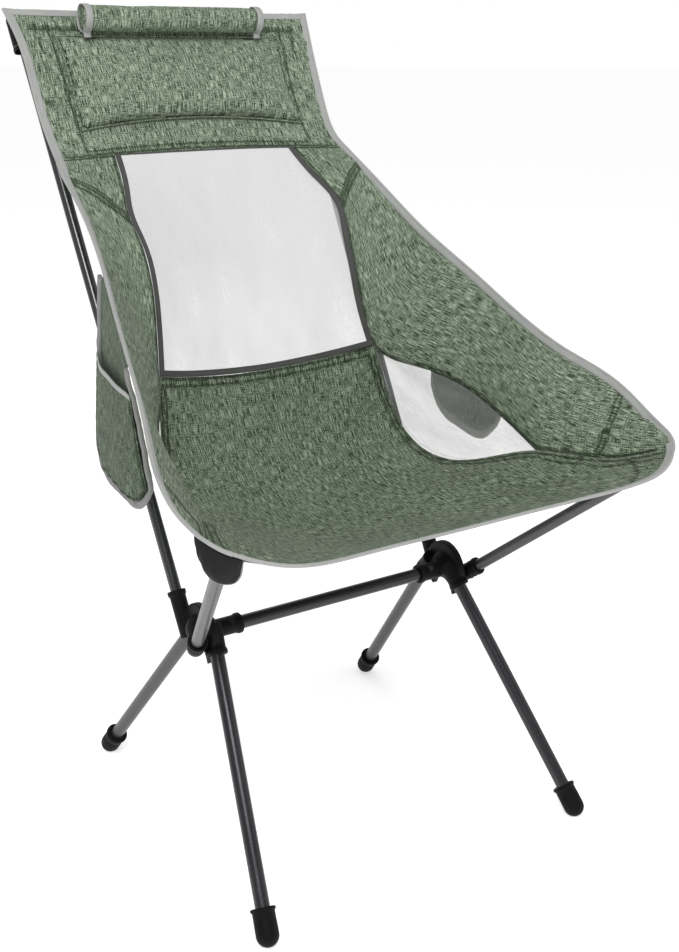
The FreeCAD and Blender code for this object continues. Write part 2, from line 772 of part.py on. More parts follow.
def build_roll():
    """The rolled stuff sack and the two webbing loops that hold it."""
    length = size("roll_length")
    body = doc.addObject("PartDesign::Body", "roll")
    pad = body.newObject("PartDesign::Pad", "pad")
    pad.Profile = ring_sketch(body, "Sheet.roll_dia / 2", None)
    pad.setExpression("Length", "Sheet.roll_length")
    doc.recompute()
    rims = [f"Edge{n}" for n, edge in enumerate(pad.Shape.Edges, start=1) if edge.Closed]
    rounding = body.newObject("PartDesign::Fillet", "round")
    rounding.Base = (pad, rims)
    rounding.setExpression("Radius", "Sheet.roll_round")
    body.Tip = rounding
    body.Placement = along(ROLL_CENTRE - Vector(length / 2, 0, 0), Vector(1, 0, 0))
    kept(body, "rolled_bag")
    loops = []
    inner = "Sheet.roll_dia / 2 + Sheet.loop_play"
    for side in SIDES.values():
        start = ROLL_CENTRE + Vector(side * size("loop_spacing") / 2 - size("loop_width") / 2, 0, 0)
        place = along(start, Vector(1, 0, 0))
        loops.append(round_body(f"{inner} + Sheet.loop_wall", inner, size("loop_width"), place))
    kept(grouped(loops), "bag_loops")


# ---------------------------------------------------------------- side pockets
def build_side_pockets():
    columns = 9
    rows = 7
    wall = size("pocket_wall")
    swell_out = Vector(1, 0, 0) * size("pocket_depth")
    margin = 0.05
    top = through(POCKET_HANGER)
    low = through(POCKET_HEM)

    def pocket_point(down, over, bulge):
        """A point of the pocket's sheet, shares down from the hanger and forward from the rear edge."""
        p = top.valueAt(top.getParameterByLength(top.Length * over))
        q = low.valueAt(low.getParameterByLength(low.Length * over))
        inside = 0 < over < 1 and 0 < down < 1
        swell = sin(pi * over) ** 0.7 * sin(pi * down ** 1.4) ** 0.7 if inside else 0
        return p + (q - p) * down + swell_out * (bulge * swell)

    overs = [margin + (1 - 2 * margin) * j / (columns - 1) for j in range(columns)]
    back = []
    for i in range(rows):
        down = (1 - margin) * i / (rows - 1)
        back.append([pocket_point(down, over, 0.0) for over in overs])
    front = []
    gap = Vector(wall + size("pocket_sheet_gap"), 0, 0)
    for i in range(rows):
        row = []
        for over in overs:
            mouth = MOUTH_REAR + (MOUTH_FRONT - MOUTH_REAR) * over
            down = mouth + (1 - margin - mouth) * i / (rows - 1)
            row.append(pocket_point(down, over, 1.0) + gap)
        front.append(row)
    for hand, side in SIDES.items():
        sheets = [sheet_solid(flipped(grid, side), wall) for grid in (back, front)]
        cloth(f"side_pocket_{hand}", *sheets)
    thickness = size("pocket_edge_thickness")
    middle = Vector(wall / 2, 0, 0)
    rim_rows = []
    steps = [(i / 6, 0.0) for i in range(6)]
    steps += [(1.0, j / 10) for j in range(11)]
    steps += [(i / 6, 1.0) for i in range(5, -1, -1)]
    for down, over in steps:
        outer = pocket_point(down, over, 0.0) + middle
        inner = pocket_point(min(down, 1 - margin), min(max(over, margin), 1 - margin), 0.0) + middle
        rim_rows.append([outer, (outer + inner) * 0.5, inner])
    for hand, side in SIDES.items():
        cloth(f"pocket_binding_{hand}", sheet_solid(flipped(rim_rows, side), thickness))


BINDING = size("binding_width")
head_inner = build_head_and_edges(BINDING)
build_window()
build_seat(BINDING)
build_sides(head_inner, BINDING)
build_corner_pockets()
build_pillow()
build_roll()
build_side_pockets()

doc.recompute()
os.makedirs("parts", exist_ok=True)
for obj in doc.Objects:
    if "Invalid" in obj.State or "Error" in obj.State:
        raise RuntimeError(f"{obj.Label} failed: {obj.State}")
for part in parts:
    if part.Shape.isNull() or not part.Shape.isValid():
        raise RuntimeError(f"{part.Label} has no valid shape")
    part.Shape.exportStep(f"parts/{part.Label}.step")
box = Part.makeCompound([part.Shape for part in parts]).BoundBox
print(len(parts), "parts; box", box)
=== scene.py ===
from math import cos, pi, radians, sin

import bmesh
import bpy
import numpy as np
from mathutils import Matrix, Vector, kdtree


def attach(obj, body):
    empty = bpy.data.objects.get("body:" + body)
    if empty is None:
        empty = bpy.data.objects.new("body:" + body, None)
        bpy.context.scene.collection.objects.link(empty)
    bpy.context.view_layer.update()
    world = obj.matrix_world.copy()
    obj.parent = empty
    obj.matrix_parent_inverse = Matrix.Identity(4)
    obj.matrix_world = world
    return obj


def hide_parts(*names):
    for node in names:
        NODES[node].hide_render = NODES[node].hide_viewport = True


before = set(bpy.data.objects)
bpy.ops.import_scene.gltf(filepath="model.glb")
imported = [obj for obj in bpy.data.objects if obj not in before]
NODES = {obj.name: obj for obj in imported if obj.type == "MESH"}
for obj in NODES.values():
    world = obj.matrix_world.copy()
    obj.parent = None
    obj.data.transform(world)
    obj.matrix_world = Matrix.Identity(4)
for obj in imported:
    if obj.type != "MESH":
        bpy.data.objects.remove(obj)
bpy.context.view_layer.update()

# Looks of the high-back camping chair: sling cloth, nets, tapes, pillow, moulded hubs and anodised poles.
# Guide curves are in millimetres from the middle of the crossbar's height line, as in the CAD.

CROSSBAR_Y = -67.5
MM = 0.001
SIDES = {"left": 1, "right": -1}


def at(*points):
    """Points given in millimetres sideways, behind the crossbar and above the floor, in metres."""
    return (np.array(points, float) + (0.0, CROSSBAR_Y, 0.0)) * MM


def mirrored(points, side):
    return np.asarray(points) * (side, 1, 1)


# ---------------------------------------------------------------- camera, light and floor
def build_camera():
    place = Vector((-0.7579, CROSSBAR_Y * MM - 1.1894, 0.9297))
    azimuth, elevation, roll = radians(-32.84), radians(19.35), radians(0.19)
    back = Vector((sin(azimuth) * cos(elevation), -cos(azimuth) * cos(elevation), sin(elevation)))
    right = Vector((0, 0, 1)).cross(back).normalized()
    up = back.cross(right)
    right, up = right * cos(roll) + up * sin(roll), up * cos(roll) - right * sin(roll)
    camera = bpy.data.cameras.new("camera")
    camera.sensor_fit = "VERTICAL"
    camera.sensor_height = 36.0
    camera.lens = 46.6
    camera.clip_end = 50.0
    obj = bpy.data.objects.new("camera", camera)
    bpy.context.collection.objects.link(obj)
    turn = Matrix((right, up, back)).transposed().to_4x4()
    obj.matrix_world = Matrix.Translation(place) @ turn
    bpy.context.scene.camera = obj


def soft_box(name, place, target, size, watts):
    light = bpy.data.lights.new(name, "AREA")
    light.shape = "RECTANGLE"
    light.size, light.size_y = size
    light.energy = watts
    obj = bpy.data.objects.new(name, light)
    bpy.context.collection.objects.link(obj)
    place = Vector(place)
    aim = (Vector(target) - place).to_track_quat("-Z", "Y")
    obj.matrix_world = Matrix.Translation(place) @ aim.to_matrix().to_4x4()


def build_studio():
    middle = (0.0, 0.0, 0.5)
    soft_box("key_light", (-1.3, -2.0, 3.2), middle, (1.6, 1.6), 78.0)
    soft_box("fill_light", (2.6, -1.4, 1.6), middle, (2.0, 2.0), 8.0)
    soft_box("back_light", (0.6, 2.8, 2.2), middle, (2.0, 1.6), 16.0)
    world = bpy.data.worlds.new("studio")
    world.use_nodes = True
    tree = world.node_tree
    backdrop = tree.nodes["Background"]
    backdrop.inputs["Color"].default_value = (1.0, 1.0, 1.0, 1.0)
    backdrop.inputs["Strength"].default_value = 0.50
    seen = tree.nodes.new("ShaderNodeBackground")
    seen.inputs["Color"].default_value = (1.0, 1.0, 1.0, 1.0)
    path = tree.nodes.new("ShaderNodeLightPath")
    choice = tree.nodes.new("ShaderNodeMixShader")
    tree.links.new(path.outputs["Is Camera Ray"], choice.inputs[0])
    tree.links.new(backdrop.outputs[0], choice.inputs[1])
    tree.links.new(seen.outputs[0], choice.inputs[2])
    tree.links.new(choice.outputs[0], tree.nodes["World Output"].inputs[0])
    bpy.context.scene.world = world
    bpy.context.scene.view_settings.view_transform = "Standard"
    mesh = bpy.data.meshes.new("floor")
    reach = 60.0
    mesh.from_pydata([(-reach, -reach, 0), (reach, -reach, 0), (reach, reach, 0), (-reach, reach, 0)], [],
                     [(0, 1, 2, 3)])
    floor = bpy.data.objects.new("floor", mesh)
    bpy.context.collection.objects.link(floor)
    finish = Finish("studio_floor")
    finish.surface(colour=(0.90, 0.90, 0.895), roughness=0.9, glow=(1.0, 1.0, 1.0), glow_strength=0.52)
    mesh.materials.append(finish.material)


# ---------------------------------------------------------------- materials
class Wire:
    """A socket that does arithmetic: an expression on wires adds its Math nodes."""

    def __init__(self, finish, socket):
        self.finish = finish
        self.socket = socket

    def maths(self, operation, first, *others):
        values = dict(enumerate((first,) + others))
        return self.finish.add("ShaderNodeMath", {"operation": operation}, values)

    def __add__(self, other):
        return self.maths("ADD", self, other)

    def __sub__(self, other):
        return self.maths("SUBTRACT", self, other)

    def __rsub__(self, other):
        return self.maths("SUBTRACT", other, self)

    def __mul__(self, other):
        return self.maths("MULTIPLY", self, other)

    __radd__ = __add__
    __rmul__ = __mul__

    def sine(self):
        return self.maths("SINE", self)

    def above(self, edge):
        return self.maths("GREATER_THAN", self, edge)

    def clipped(self):
        return self.finish.add("ShaderNodeClamp", {}, {"Value": self})


class Finish:
    """One material, built node by node."""

    def __init__(self, name):
        self.material = bpy.data.materials.new(name)
        self.material.use_nodes = True
        self.tree = self.material.node_tree
        self.tree.nodes.clear()

    def add(self, kind, settings, values, out=0):
        """A node of any kind: settings first, then its sockets' values or links; one output comes back."""
        node = self.tree.nodes.new(kind)
        for key, setting in settings.items():
            if key == "stops":
                ramp = node.color_ramp
                while len(ramp.elements) < len(setting):
                    ramp.elements.new(1.0)
                for element, (position, colour) in zip(ramp.elements, setting):
                    element.position = position
                    element.color = (*colour, 1.0)
            else:
                setattr(node, key, setting)
        for key, value in values.items():
            socket = node.inputs[key]
            if isinstance(value, Wire):
                self.tree.links.new(value.socket, socket)
            elif isinstance(value, tuple) and socket.type == "RGBA":
                socket.default_value = (*value, 1.0)
            else:
                socket.default_value = value
        return Wire(self, node.outputs[out])

    def cloth_places(self):
        """The piece's own cloth coordinates, in metres across and down."""
        return self.add("ShaderNodeUVMap", {"uv_map": "cloth"}, {})

    def solid_places(self):
        return self.add("ShaderNodeTexCoord", {}, {}, out="Object")

    def stretched(self, places, scale, turn=(0.0, 0.0, 0.0)):
        return self.add("ShaderNodeMapping", {}, {"Vector": places, "Scale": scale, "Rotation": turn})

    def noise(self, places, scale=1.0, detail=2.0, roughness=0.5):
        values = {"Vector": places, "Scale": scale, "Detail": detail, "Roughness": roughness}
        return self.add("ShaderNodeTexNoise", {}, values)

    def split(self, places):
        node = self.tree.nodes.new("ShaderNodeSeparateXYZ")
        self.tree.links.new(places.socket, node.inputs[0])
        return [Wire(self, output) for output in node.outputs]

    def blend(self, share, low, high, kind="MIX"):
        settings = {"data_type": "RGBA", "blend_type": kind}
        node = self.tree.nodes.new("ShaderNodeMix")
        for key, setting in settings.items():
            setattr(node, key, setting)
        for index, value in ((0, share), (6, low), (7, high)):
            if isinstance(value, Wire):
                self.tree.links.new(value.socket, node.inputs[index])
            else:
                node.inputs[index].default_value = (*value, 1.0) if isinstance(value, tuple) else value
        return Wire(self, node.outputs[2])

    def bumps(self, height, depth, strength=1.0, under=None):
        values = {"Height": height, "Distance": depth, "Strength": strength}
        if under is not None:
            values["Normal"] = under
        return self.add("ShaderNodeBump", {}, values)

    def surface(self, colour, roughness, normal=None, alpha=None, metallic=0.0, **fixed):
        """The shader at the end: what varies comes as wires, what is the same all over as numbers."""
        values = {"Base Color": colour, "Roughness": roughness, "Metallic": metallic}
        if normal is not None:
            values["Normal"] = normal
        if alpha is not None:
            values["Alpha"] = alpha
        names = {"coat": "Coat Weight", "coat_roughness": "Coat Roughness", "sheen": "Sheen Weight",
                 "sheen_roughness": "Sheen Roughness", "specular": "Specular IOR Level",
                 "glow": "Emission Color",
                 "glow_strength": "Emission Strength"}
        for key, value in fixed.items():
            values[names[key]] = value
        shader = self.add("ShaderNodeBsdfPrincipled", {}, values)
        output = self.tree.nodes.new("ShaderNodeOutputMaterial")
        self.tree.links.new(shader.socket, output.inputs["Surface"])
        return self.material


def heather_cloth(name, dark, middle, light, contrast=1.0):
    """Melange polyester: short slubs both ways over a plain weave, with painted shade along its pressed seams.
    """
    f = Finish(name)
    places = f.cloth_places()
    warp = f.noise(f.stretched(places, (1150.0, 70.0, 1.0)), detail=3.0, roughness=0.6)
    weft = f.noise(f.stretched(places, (110.0, 1150.0, 1.0)), detail=3.0, roughness=0.6)
    grain = f.noise(f.stretched(places, (1900.0, 1900.0, 1.0)), detail=1.0)
    cloud = f.noise(f.stretched(places, (14.0, 9.0, 1.0)), detail=3.0)
    tone = (0.5 + (warp - 0.5) * (4.2 * contrast) + (weft - 0.5) * (2.4 * contrast)
            + (grain - 0.5) * (1.6 * contrast))
    # painted shade: the seam mask, stored where the seams press the cloth, darkens the tone in their grooves
    seam = f.add("ShaderNodeAttribute", {"attribute_name": "seam"}, {}, out="Fac")
    tone = tone + (cloud - 0.5) * 0.30 - seam * 0.70
    colour = f.add("ShaderNodeValToRGB", {"stops": [(0.0, dark), (0.5, middle), (1.0, light)]},
                   {"Fac": tone.clipped()})
    u, v, _ = f.split(places)
    thread = (u * 7400.0).sine() * (v * 7400.0).sine()
    height = warp * 0.5 + weft * 0.4 + grain * 0.25 + thread * 0.12
    normal = f.bumps(height, 0.0005, 0.5)
    return f.surface(colour, 0.80 + (grain - 0.5) * 0.2, normal, sheen=0.05, sheen_roughness=0.5,
                     specular=0.18)


def ribbed_tape(name, dark, light, rib=0.0011, roughness=0.7):
    """Woven tape: ribs across its length, with a little wear."""
    f = Finish(name)
    places = f.cloth_places()
    along = f.split(places)[0]
    ribs = (along * (2 * pi / rib)).sine() * 0.5 + 0.5
    fibre = f.noise(f.stretched(places, (500.0, 1800.0, 1.0)), detail=3.0, roughness=0.6)
    cloud = f.noise(f.stretched(places, (26.0, 60.0, 1.0)), detail=2.0)
    tone = 0.2 + ribs * 0.22 + (fibre - 0.5) * 0.9 + cloud * 0.45
    colour = f.blend(tone.clipped(), dark, light)
    normal = f.bumps(ribs * 0.6 + fibre * 0.5, 0.0003, 0.6)
    return f.surface(colour, roughness, normal, sheen=0.12, sheen_roughness=0.5, specular=0.3)


def fine_net(name, colour, cover, shade):
    """A sheer knitted net: rows of small holes, and a little denser in soft bands."""
    f = Finish(name)
    places = f.cloth_places()
    u, v, _ = f.split(places)
    cell = 2 * pi / 0.0014
    holes = (u * cell).sine() * (v * cell).sine()
    bands = f.noise(f.stretched(places, (26.0, 9.0, 1.0), (0.0, 0.0, 0.35)), detail=3.0)
    threads = f.noise(f.stretched(places, (900.0, 60.0, 1.0)), detail=1.0)
    alpha = cover + holes.above(0.12) * -0.16 + (bands - 0.5) * 0.34 + (threads - 0.5) * 0.14
    tone = f.blend((bands * 0.8 + threads * 0.2).clipped(), shade, colour)
    normal = f.bumps(bands * 0.8 + holes * 0.04, 0.0012, 0.35)
    return f.surface(tone, 0.5, normal, alpha=alpha.clipped(), sheen=0.1, specular=0.35)


def anodised_metal(name, colour, shade, roughness, turn=0.0):
    """Drawn, anodised tube: faint streaks, soft cloudiness and a few rubbed spots."""
    f = Finish(name)
    places = f.solid_places()
    streaks = f.noise(f.stretched(places, (900.0, 900.0, 14.0), (turn, 0.0, 0.0)), detail=2.0, roughness=0.6)
    cloud = f.noise(places, 22.0, 3.0)
    grain = f.noise(places, 2600.0, 1.0)
    worn = f.noise(places, 55.0, 4.0, 0.7)
    rubbed = ((worn - 0.63) * 9.0).clipped()
    tone = f.blend((streaks * 0.7 + cloud * 0.4 - 0.1).clipped(), shade, colour)
    lighter = tuple(min(1.0, 1.5 * c + 0.04) for c in colour)
    tone = f.blend(rubbed * 0.5, tone, lighter)
    rough = roughness + (streaks - 0.5) * 0.22 + (cloud - 0.5) * 0.12 + rubbed * 0.08
    normal = f.bumps(streaks * 0.6 + grain * 0.4, 0.00012, 0.35)
    return f.surface(tone, rough, normal, metallic=0.92, specular=0.5)


def moulded_plastic(name, colour, worn_colour, roughness=0.52):
    """Glass-filled nylon: spark-eroded grain, flow clouds and dull scuffs."""
    f = Finish(name)
    places = f.solid_places()
    grain = f.noise(places, 1500.0, 2.0, 0.6)
    flow = f.noise(f.stretched(places, (30.0, 30.0, 60.0)), detail=3.0)
    scuff = ((f.noise(places, 90.0, 5.0, 0.75) - 0.58) * 6.0).clipped()
    tone = f.blend((flow * 0.5 + scuff * 0.5).clipped(), colour, worn_colour)
    normal = f.bumps(grain, 0.00022, 0.5)
    return f.surface(tone, roughness + (grain - 0.5) * 0.25 + scuff * 0.12, normal, specular=0.12)


def moulded_rubber(name):
    f = Finish(name)
    places = f.solid_places()
    grain = f.noise(places, 900.0, 3.0, 0.6)
    dust = ((f.noise(places, 70.0, 5.0, 0.7) - 0.5) * 3.0).clipped()
    tone = f.blend(dust * 0.6, (0.004, 0.004, 0.004), (0.014, 0.0135, 0.013))
    normal = f.bumps(grain, 0.0003, 0.45)
    return f.surface(tone, 0.6 + dust * 0.2, normal, specular=0.12)


def twisted_thread(name, dark, light):
    f = Finish(name)
    places = f.solid_places()
    twist = f.noise(places, 2200.0, 2.0)
    tone = f.blend(twist, dark, light)
    return f.surface(tone, 0.62, f.bumps(twist, 0.0002, 0.5), sheen=0.15)


def black_fabric(name, dark, light):
    """Coated basket weave of the pole pockets."""
    f = Finish(name)
    places = f.cloth_places()
    u, v, _ = f.split(places)
    cell = 2 * pi / 0.0016
    weave = (u * cell).sine() * (v * cell).sine() * 0.5 + 0.5
    fibre = f.noise(f.stretched(places, (700.0, 700.0, 1.0)), detail=2.0)
    wear = f.noise(f.stretched(places, (60.0, 60.0, 1.0)), detail=4.0)
    tone = f.blend((weave * 0.35 + fibre * 0.35 + wear * 0.3).clipped(), dark, light)
    normal = f.bumps(weave * 0.5 + fibre * 0.5, 0.0004, 0.6)
    return f.surface(tone, 0.62 + wear * 0.25, normal, specular=0.16)


def build_finishes():
    green = ((0.018, 0.030, 0.014), (0.128, 0.172, 0.110), (0.420, 0.490, 0.385))
    # the seat cloth is a darker copy of the green: painted shade where the seat faces away from the light
    painted_shade_seat_green = ((0.013, 0.023, 0.011), (0.098, 0.135, 0.082), (0.330, 0.392, 0.300))
    # the side pockets' cloth is a darker copy of the green: painted shade
    painted_shade_pocket_green = ((0.008, 0.015, 0.007), (0.058, 0.086, 0.050), (0.210, 0.262, 0.190))
    return {
        "cloth": heather_cloth("green_heather", *green),
        "seat_cloth_painted_shade": heather_cloth("green_heather_seat_painted_shade", *painted_shade_seat_green),
        "pocket_cloth_painted_shade": heather_cloth("green_heather_pocket_painted_shade", *painted_shade_pocket_green, contrast=0.85),
        "binding": ribbed_tape("grey_binding_tape", (0.220, 0.226, 0.218), (0.470, 0.476, 0.462)),
        "pocket_edge": ribbed_tape("grey_pocket_tape", (0.120, 0.124, 0.118), (0.300, 0.305, 0.295)),
        "charcoal": ribbed_tape("charcoal_tape_weave", (0.022, 0.024, 0.022), (0.098, 0.100, 0.096), 0.0014),
        "net": fine_net("window_net", (0.68, 0.68, 0.68), 0.44, (0.44, 0.44, 0.44)),
        "side_net": fine_net("side_net", (0.44, 0.45, 0.44), 0.36, (0.20, 0.21, 0.20)),
        "dark_metal": anodised_metal("dark_anodised", (0.070, 0.070, 0.075), (0.038, 0.038, 0.041), 0.30),
        "grey_metal": anodised_metal("grey_anodised", (0.120, 0.119, 0.120), (0.074, 0.073, 0.075), 0.38),
        "glossy_metal": anodised_metal("glossy_anodised", (0.120, 0.120, 0.126), (0.070, 0.070, 0.074), 0.22),
        "nylon": moulded_plastic("black_nylon", (0.0045, 0.0045, 0.0048), (0.012, 0.012, 0.0125)),
        "rubber": moulded_rubber("black_rubber"),
        "rivet": anodised_metal("black_rivet", (0.060, 0.060, 0.062), (0.030, 0.030, 0.032), 0.40),
        "green_thread": twisted_thread("green_thread", (0.060, 0.088, 0.054), (0.150, 0.190, 0.135)),
        "dark_thread": twisted_thread("dark_green_thread", (0.020, 0.030, 0.018), (0.058, 0.078, 0.052)),
        "grey_thread": twisted_thread("grey_thread", (0.22, 0.22, 0.21), (0.42, 0.42, 0.41)),
        "black_thread": twisted_thread("black_thread", (0.012, 0.012, 0.012), (0.040, 0.040, 0.040)),
        "black_cloth": black_fabric("black_pocket_cloth", (0.004, 0.004, 0.004), (0.022, 0.022, 0.022)),
        "cord": twisted_thread("shock_cord_braid", (0.012, 0.012, 0.012), (0.070, 0.070, 0.070)),
    }


# ---------------------------------------------------------------- curves and grids
def cubic(knots, values, places):
    """A natural cubic curve through values at knots, read at places."""
    knots, values = np.asarray(knots, float), np.asarray(values, float)
    count = len(knots)
    step = np.diff(knots)
    slope = np.diff(values, axis=0) / step[:, None]
    matrix = np.eye(count)
    right = np.zeros_like(values)
    for i in range(1, count - 1):
        matrix[i, i - 1:i + 2] = step[i - 1], 2 * (step[i - 1] + step[i]), step[i]
        right[i] = 6 * (slope[i] - slope[i - 1])
    bend = np.linalg.solve(matrix, right)
    i = np.clip(np.searchsorted(knots, places, side="right") - 1, 0, count - 2)
    h = step[i]
    a = (knots[i + 1] - places) / h
    b = 1 - a
    curved = (a ** 3 - a)[:, None] * bend[i] + (b ** 3 - b)[:, None] * bend[i + 1]
    return a[:, None] * values[i] + b[:, None] * values[i + 1] + curved * (h ** 2)[:, None] / 6


def lengths_along(points):
    steps = np.linalg.norm(np.diff(points, axis=0), axis=1)
    return np.concatenate(([0.0], np.cumsum(steps)))


def spread(points, count, start=0.0, stop=1.0):
    """Points spaced evenly along the smooth curve through points, between two shares of its length."""
    points = np.asarray(points, float)
    knots = lengths_along(points)
    fine = cubic(knots, points, np.linspace(0, knots[-1], 900))
    run = lengths_along(fine)
    wanted = np.linspace(start, stop, count) * run[-1]
    return np.stack([np.interp(wanted, run, fine[:, axis]) for axis in range(3)], axis=1)


def resampled(points, pitch):
    """The same path with points about every pitch."""
    run = lengths_along(points)
    count = max(2, int(round(run[-1] / pitch)) + 1)
    wanted = np.linspace(0, run[-1], count)
    return np.stack([np.interp(wanted, run, points[:, axis]) for axis in range(points.shape[1])], axis=1)


def joined(*curves):
    return np.concatenate([curves[0]] + [curve[1:] for curve in curves[1:]])


def across(edge, centre, columns):
    """Rows from the right edge through the centre to the left edge, sagging between them."""
    share = np.linspace(-1, 1, columns)[None, :, None]
    grid = centre[:, None, :] + (edge - centre)[:, None, :] * share ** 2
    grid[:, :, 0] = edge[:, None, 0] * share[:, :, 0]
    return grid


def between(first, second, columns=4, sag=(0.0, 0.0, 0.0)):
    """Rows from one seam to the next, bulging by sag in their middle."""
    share = np.linspace(0, 1, columns)[None, :, None]
    bulge = np.asarray(sag, float)
    if bulge.ndim == 1:
        bulge = np.tile(bulge, (len(first), 1))
    return first[:, None, :] + (second - first)[:, None,
                                                :] * share + bulge[:, None, :] * (4 * share * (1 - share))


def refined(grid, rows, columns):
    """A finer grid on the smooth surface through a coarse one."""
    grid = np.asarray(grid, float)
    down = cubic(np.arange(len(grid)), grid.reshape(len(grid), -1), np.linspace(0, len(grid) - 1, rows))
    turned = down.reshape(rows, -1, 3).transpose(1, 0, 2)
    over = cubic(np.arange(len(turned)), turned.reshape(len(turned), -1),
                 np.linspace(0, len(turned) - 1, columns))
    return over.reshape(columns, rows, 3).transpose(1, 0, 2)


def coons(top, bottom, outer, inner):
    """A grid stretched between four curves that meet at their ends."""
    down = np.linspace(0, 1, len(outer))[:, None, None]
    over = np.linspace(0, 1, len(top))[None, :, None]
    corners = ((top[0] * (1 - over) + top[-1] * over) * (1 - down)
               + (bottom[0] * (1 - over) + bottom[-1] * over) * down)
    return (top[None] * (1 - down) + bottom[None] * down
            + outer[:, None] * (1 - over) + inner[:, None] * over - corners)


def at_distance(grid, width):
    """The line on a grid that keeps a width from its first row."""
    run = np.cumsum(np.linalg.norm(np.diff(grid, axis=0), axis=2), axis=0)
    line = []
    for j in range(grid.shape[1]):
        steps = np.concatenate(([0.0], run[:, j]))
        line.append([np.interp(width, steps, grid[:, j, axis]) for axis in range(3)])
    return np.array(line)


def towards(outer, inner, width):
    gap = inner - outer
    return outer + gap / np.linalg.norm(gap, axis=1, keepdims=True) * width


SITTER = at((0, -60, 650))[0]


def facing(grid, target=SITTER):
    """Unit normals of a grid, on the side that looks at target."""
    down = np.gradient(grid, axis=0)
    over = np.gradient(grid, axis=1)
    normal = np.cross(down, over)
    normal /= np.maximum(np.linalg.norm(normal, axis=2, keepdims=True), 1e-12)
    centre = grid.reshape(-1, 3).mean(axis=0)
    middle = normal[len(grid) // 2, grid.shape[1] // 2]
    return normal if np.dot(middle, np.asarray(target) - centre) > 0 else -normal


def cloth_map(grid):
    """Metres across and down for every point of a grid."""
    over = np.zeros(grid.shape[:2])
    over[:, 1:] = np.cumsum(np.linalg.norm(np.diff(grid, axis=1), axis=2), axis=1)
    over -= over[:, grid.shape[1] // 2][:, None]
    down = np.zeros(grid.shape[:2])
    down[1:] = np.cumsum(np.linalg.norm(np.diff(grid, axis=0), axis=2), axis=0)
    down = np.tile(down[:, down.shape[1] // 2][:, None], (1, grid.shape[1]))
    return np.stack([over, down], axis=2)


# ---------------------------------------------------------------- folds
def crease(grid, start, stop, width, height):
    """A soft ridge in the cloth from start to stop, both in guide millimetres."""
    a, b = at(start)[0], at(stop)[0]
    line = b - a
    share = np.clip(((grid - a) @ line) / (line @ line), 0, 1)
    gap = np.linalg.norm(grid - (a + share[..., None] * line), axis=2)
    fade = np.sin(pi * np.clip(share, 0.02, 0.98)) ** 0.7
    return height * MM * np.exp(-(gap / (width * MM)) ** 2) * fade


def ripple(cloth, size, height, seed):
    """Slow, uneven waviness made of a few fixed waves."""
    random = np.random.default_rng(seed)
    relief = np.zeros(cloth.shape[:2])
    for _ in range(7):
        angle = random.uniform(0, pi)
        pitch = size * random.uniform(0.6, 1.7)
        phase = random.uniform(0, 2 * pi)
        way = cloth[..., 0] * cos(angle) + cloth[..., 1] * sin(angle)
        relief += np.sin(2 * pi * way / pitch + phase)
    return relief * height * MM / 7 ** 0.5


def pucker(distance, along, height, seed, reach=0.012, pitch=0.011):
    """Small gathers next to a seam, dying out away from it."""
    random = np.random.default_rng(seed)
    wobble = np.sin(2 * pi * along / (pitch * 3.1) + random.uniform(0, 6)) * 0.5
    wave = np.sin(2 * pi * along / pitch + random.uniform(0, 6) + 2 * wobble)
    return height * MM * wave * np.exp(-distance / reach)


# ---------------------------------------------------------------- pieces
def piece(name, mesh, material, body, nodes=(), smooth=True):
    obj = bpy.data.objects.new(name, mesh)
    bpy.context.collection.objects.link(obj)
    mesh.materials.clear()
    mesh.materials.append(material)
    if smooth:
        mesh.polygons.foreach_set("use_smooth", [True] * len(mesh.polygons))
    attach(obj, body)
    if nodes:
        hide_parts(*nodes)
    return obj


def grid_mesh(name, grid, cloth, closed_over=False):
    """Quads between the points of a grid, with its cloth coordinates."""
    rows, columns = grid.shape[:2]
    index = np.arange(rows * columns).reshape(rows, columns)
    a, b, c, d = index[:-1, :-1], index[1:, :-1], index[1:, 1:], index[:-1, 1:]
    quads = np.stack([a, b, c, d], axis=-1).reshape(-1, 4)
    places = cloth
    if closed_over:
        wrap = np.stack([index[:-1, -1], index[1:, -1], index[1:, 0], index[:-1, 0]], axis=-1)
        quads = np.concatenate([quads, wrap])
    mesh = bpy.data.meshes.new(name)
    mesh.from_pydata(grid.reshape(-1, 3).tolist(), [], quads.tolist())
    layer = mesh.uv_layers.new(name="cloth")
    flat = places.reshape(-1, 2)[quads]
    if closed_over:
        girth = places[:, -1, 1].max() + np.linalg.norm(grid[0, 0] - grid[0, -1])
        wrapped = flat[len(quads) - len(wrap):]
        wrapped[:, 2:, 1] = girth
    layer.data.foreach_set("uv", flat.reshape(-1))
    return mesh


def thickened(obj, thickness, offset=0.0):
    wall = obj.modifiers.new("thickness", "SOLIDIFY")
    wall.thickness = thickness
    wall.offset = offset
    wall.use_rim = True


def sheet_piece(name, grid, relief, material, body, nodes, thickness=0.0009, target=SITTER):
    """A sewn panel: its grid lifted by relief and thickened; the grid and normals come back for its seams."""
    cloth = cloth_map(grid)
    normal = facing(grid, target)
    lifted = grid + normal * relief(grid, cloth)[..., None] if relief else grid
    obj = piece(name, grid_mesh(name, lifted, cloth), material, body, nodes)
    thickened(obj, thickness)
    return obj, lifted, facing(lifted, target)


